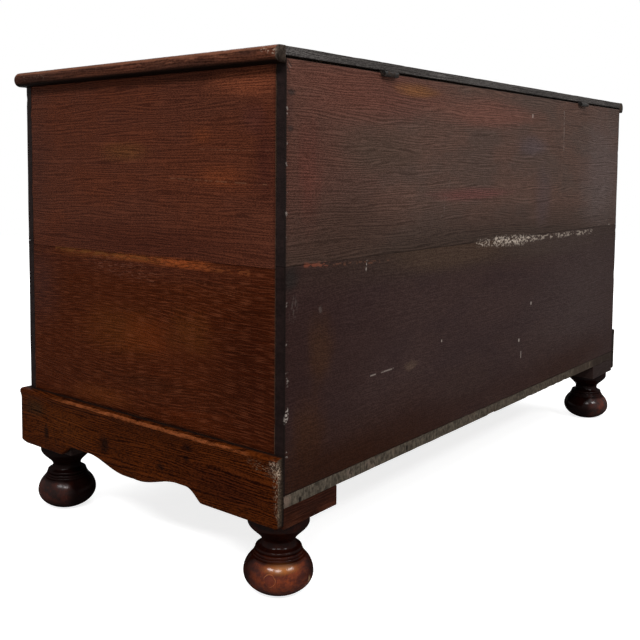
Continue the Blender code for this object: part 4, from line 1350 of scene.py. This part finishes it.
class COFFER_OT_lid_moulding(PieceOperator):
    """The half-round moulding on the lid's front and ends."""

    bl_idname = "coffer.lid_moulding"
    bl_label = "Lid moulding"

    def build(self, sizes):
        """The half-round section is carried along each edge."""
        low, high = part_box("lid_moulding_right")
        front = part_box("lid_moulding_front")[0][1]
        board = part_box("lid_board_front")
        inner_x, inner_y = low[0], board[0][1] - (low[0] - board[1][0])
        reach_x, reach_y = high[0] - inner_x, inner_y - front
        back, top, depth = high[1], high[2], 0.009
        plan = (inner_x, inner_y, back, high[0], front, sizes.lid_corner,
                reach_y / reach_x)
        for side in SIDES:
            at_front = side == "front"
            section = lid_section(low[2], top, reach_y if at_front else reach_x, depth)
            obj = edging("aged_lid_moulding_" + side, side, section, plan,
                         seed=90 + len(side))
            _, y, z = points_of(obj).T
            # A painted highlight along the upper nose, and painted shade under it.
            lit = smoothstep(top - 0.0085, top - 0.004, z)
            paint(obj, "worn", lit * (1.0 - smoothstep(top - 0.0016, top, z)))
            paint(obj, "grime", 1.0 - smoothstep(low[2] + 0.002, low[2] + 0.0075, z))
            paint(obj, "end", smoothstep(back - 0.001, back - 0.0003, y))
            finish(obj, FINISHES["moulding_front" if at_front else "moulding_end"],
                   "lid", "moulding_wood", "lid_moulding_" + side)
        return 3


class COFFER_OT_hinges(PieceOperator):
    """The iron butt hinges."""

    bl_idname = "coffer.hinges"
    bl_label = "Hinges"

    def build(self, sizes):
        """The CAD leaves and pins keep their shapes and get forged iron."""
        names = [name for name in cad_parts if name.startswith("hinge_")]
        for name in names:
            dress(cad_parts[name], FINISHES["iron"])
        return len(names)


def put(data, right, up, back, place):
    """An object for a lamp or camera, by its three axes and its place."""
    obj = bpy.data.objects.new(data.name, data)
    rows = [[float(v) for v in row] for row in zip(right, up, back, place)]
    obj.matrix_world = Matrix(rows + [[0.0, 0.0, 0.0, 1.0]])
    bpy.context.scene.collection.objects.link(obj)
    return obj


class COFFER_OT_stage(bpy.types.Operator):
    """The floor, the studio light and the camera at the photograph's place."""

    bl_idname = "coffer.stage"
    bl_label = "Studio and camera"
    bl_options = {"REGISTER", "UNDO"}

    def execute(self, context):
        """A pale floor, a white world for the camera, five lamps and the camera."""
        scene = context.scene
        self.floor(tuple(scene.coffer_colours.floor))
        self.world(scene)
        self.lamps()
        self.camera(scene)
        scene.view_settings.view_transform = "Standard"
        return {"FINISHED"}

    def floor(self, colour):
        """A round floor, 12 m across, seen brighter than it is lit, and white far off."""
        rings = np.array([[0.0, 0.0], [1.5, 0.0], [6.0, 0.0]])
        obj = make_piece("studio_floor", [turned(rings, (0.0, 0.0), 96, 0, uneven=0.0)])
        if obj.data.polygons[0].normal.z < 0:
            obj.data.flip_normals()
        material = bpy.data.materials.new("studio_floor_paint")
        material.use_nodes = True
        tree = material.node_tree
        shader = tree.nodes["Principled BSDF"]
        for key, value in (("Base Color", (*colour, 1.0)), ("Roughness", 0.9),
                           ("Specular IOR Level", 0.0)):
            wire(shader.inputs[key], value)
        seen = node(tree, "ShaderNodeLightPath", output="Is Camera Ray")
        place = node(tree, "ShaderNodeTexCoord", output="Object")
        far = ramp(vectors("LENGTH", place, output=1), 0.9, 2.6, 0.8, 1.0)
        shade = node(tree, "ShaderNodeEmission", {
            "Color": (1.0, 1.0, 1.0, 1.0), "Strength": seen * far})
        wire(tree.nodes["Material Output"].inputs["Surface"], node(
            tree, "ShaderNodeAddShader", {0: Value(shader.outputs[0]), 1: shade}))
        dress(obj, material)

    def world(self, scene):
        """White where it is seen or reflected, and dimmer as light."""
        world = bpy.data.worlds.new("studio_world")
        world.use_nodes = True
        tree = world.node_tree
        path = tree.nodes.new("ShaderNodeLightPath").outputs
        camera, glossy, through = (Value(path["Is %s Ray" % ray])
                                   for ray in ("Camera", "Glossy", "Transmission"))
        seen = maths("MAXIMUM", camera, maths("MAXIMUM", glossy, through))
        background = tree.nodes["Background"].inputs
        wire(background["Color"], (1.0, 1.0, 1.0, 1.0))
        wire(background["Strength"], ramp(seen, 0.0, 1.0, 0.28, 1.0))
        scene.world = world

    def lamps(self):
        """Soft boxes: one overhead, three round the seen corner and one behind it.

        Each row is the lamp's name, azimuth and elevation in degrees, distance, width
        and height, and its radiance. Power in watts = radiance * pi * area.
        """
        rows = (("overhead_box", 62.0, 62.0, 2.6, 2.2, 2.2, 1.6),
                ("left_box", 10.0, 38.0, 4.0, 1.1, 0.46, 35.5),
                ("middle_box", 38.0, 36.0, 4.0, 1.1, 0.46, 35.5),
                ("right_box", 82.0, 36.0, 4.0, 1.1, 0.46, 33.5),
                ("far_box", 230.0, 40.0, 4.0, 2.0, 2.0, 6.0))
        aim = np.array([0.1, 0.0, 0.3])
        for name, azimuth, elevation, distance, width, height, radiance in rows:
            a, e = math.radians(azimuth), math.radians(elevation)
            way = np.array([math.cos(e) * math.cos(a), math.cos(e) * math.sin(a),
                            math.sin(e)])
            right = np.array([-math.sin(a), math.cos(a), 0.0])
            lamp = bpy.data.lights.new(name, "AREA")
            lamp.shape = "RECTANGLE"
            lamp.size, lamp.size_y = width, height
            lamp.energy = radiance * math.pi * width * height
            put(lamp, right, np.cross(way, right), way, aim + distance * way)

    def camera(self, scene):
        """The camera that was fitted to the photograph.

        Yaw, pitch and roll are in degrees. The lens is 875.06 px long on a picture of
        640 px, and the shift puts its centre where the photograph has it.
        """
        yaw, pitch, roll = (math.radians(v) for v in (-50.19, 4.18, 0.3))
        place = (1.4508, 0.9926, 0.5768)
        pixels, focal, centre_x, centre_y = 640.0, 875.06, 285.0, 232.01
        ahead = np.array([math.sin(yaw) * math.cos(pitch), -math.cos(yaw) * math.cos(pitch),
                          -math.sin(pitch)])
        right = np.cross(ahead, (0.0, 0.0, 1.0))
        right /= np.linalg.norm(right)
        up = np.cross(right, ahead)
        lens = bpy.data.cameras.new("photo_camera")
        lens.sensor_width = 36.0
        lens.lens = focal * 36.0 / pixels
        lens.shift_x = (pixels / 2 - centre_x) / pixels
        lens.shift_y = (centre_y - pixels / 2) / pixels
        lens.clip_start = 0.05
        scene.camera = put(lens, math.cos(roll) * right + math.sin(roll) * up,
                           -math.sin(roll) * right + math.cos(roll) * up, -ahead, place)


class COFFER_PT_panel(bpy.types.Panel):
    """The coffer's sizes, colours and pieces in the sidebar."""

    bl_idname = "COFFER_PT_panel"
    bl_label = "Coffer"
    bl_space_type = "VIEW_3D"
    bl_region_type = "UI"
    bl_category = "Coffer"

    def draw(self, context):
        """List the properties and the buttons."""
        for group in (context.scene.coffer_sizes, context.scene.coffer_colours):
            column = self.layout.column(align=True)
            for name in group.__annotations__:
                column.prop(group, name)
        column = self.layout.column(align=True)
        for operator in PIECES:
            column.operator(operator.bl_idname)


PIECES = (COFFER_OT_carcass, COFFER_OT_bottom, COFFER_OT_plinth, COFFER_OT_feet,
          COFFER_OT_lid_boards, COFFER_OT_lid_moulding, COFFER_OT_hinges,
          COFFER_OT_stage)
CLASSES = (CofferSizes, CofferColours) + PIECES + (COFFER_PT_panel,)


def register():
    """Add the classes and the scene's properties."""
    for cls in CLASSES:
        bpy.utils.register_class(cls)
    bpy.types.Scene.coffer_sizes = bpy.props.PointerProperty(type=CofferSizes)
    bpy.types.Scene.coffer_colours = bpy.props.PointerProperty(type=CofferColours)


def unregister():
    """Take the scene's properties and the classes away again."""
    del bpy.types.Scene.coffer_colours
    del bpy.types.Scene.coffer_sizes
    for cls in reversed(CLASSES):
        bpy.utils.unregister_class(cls)


def main():
    """Build every piece in order, then the studio."""
    register()
    for operator in PIECES:
        group, name = operator.bl_idname.split(".")
        getattr(getattr(bpy.ops, group), name)()


if __name__ == "__main__":
    main()
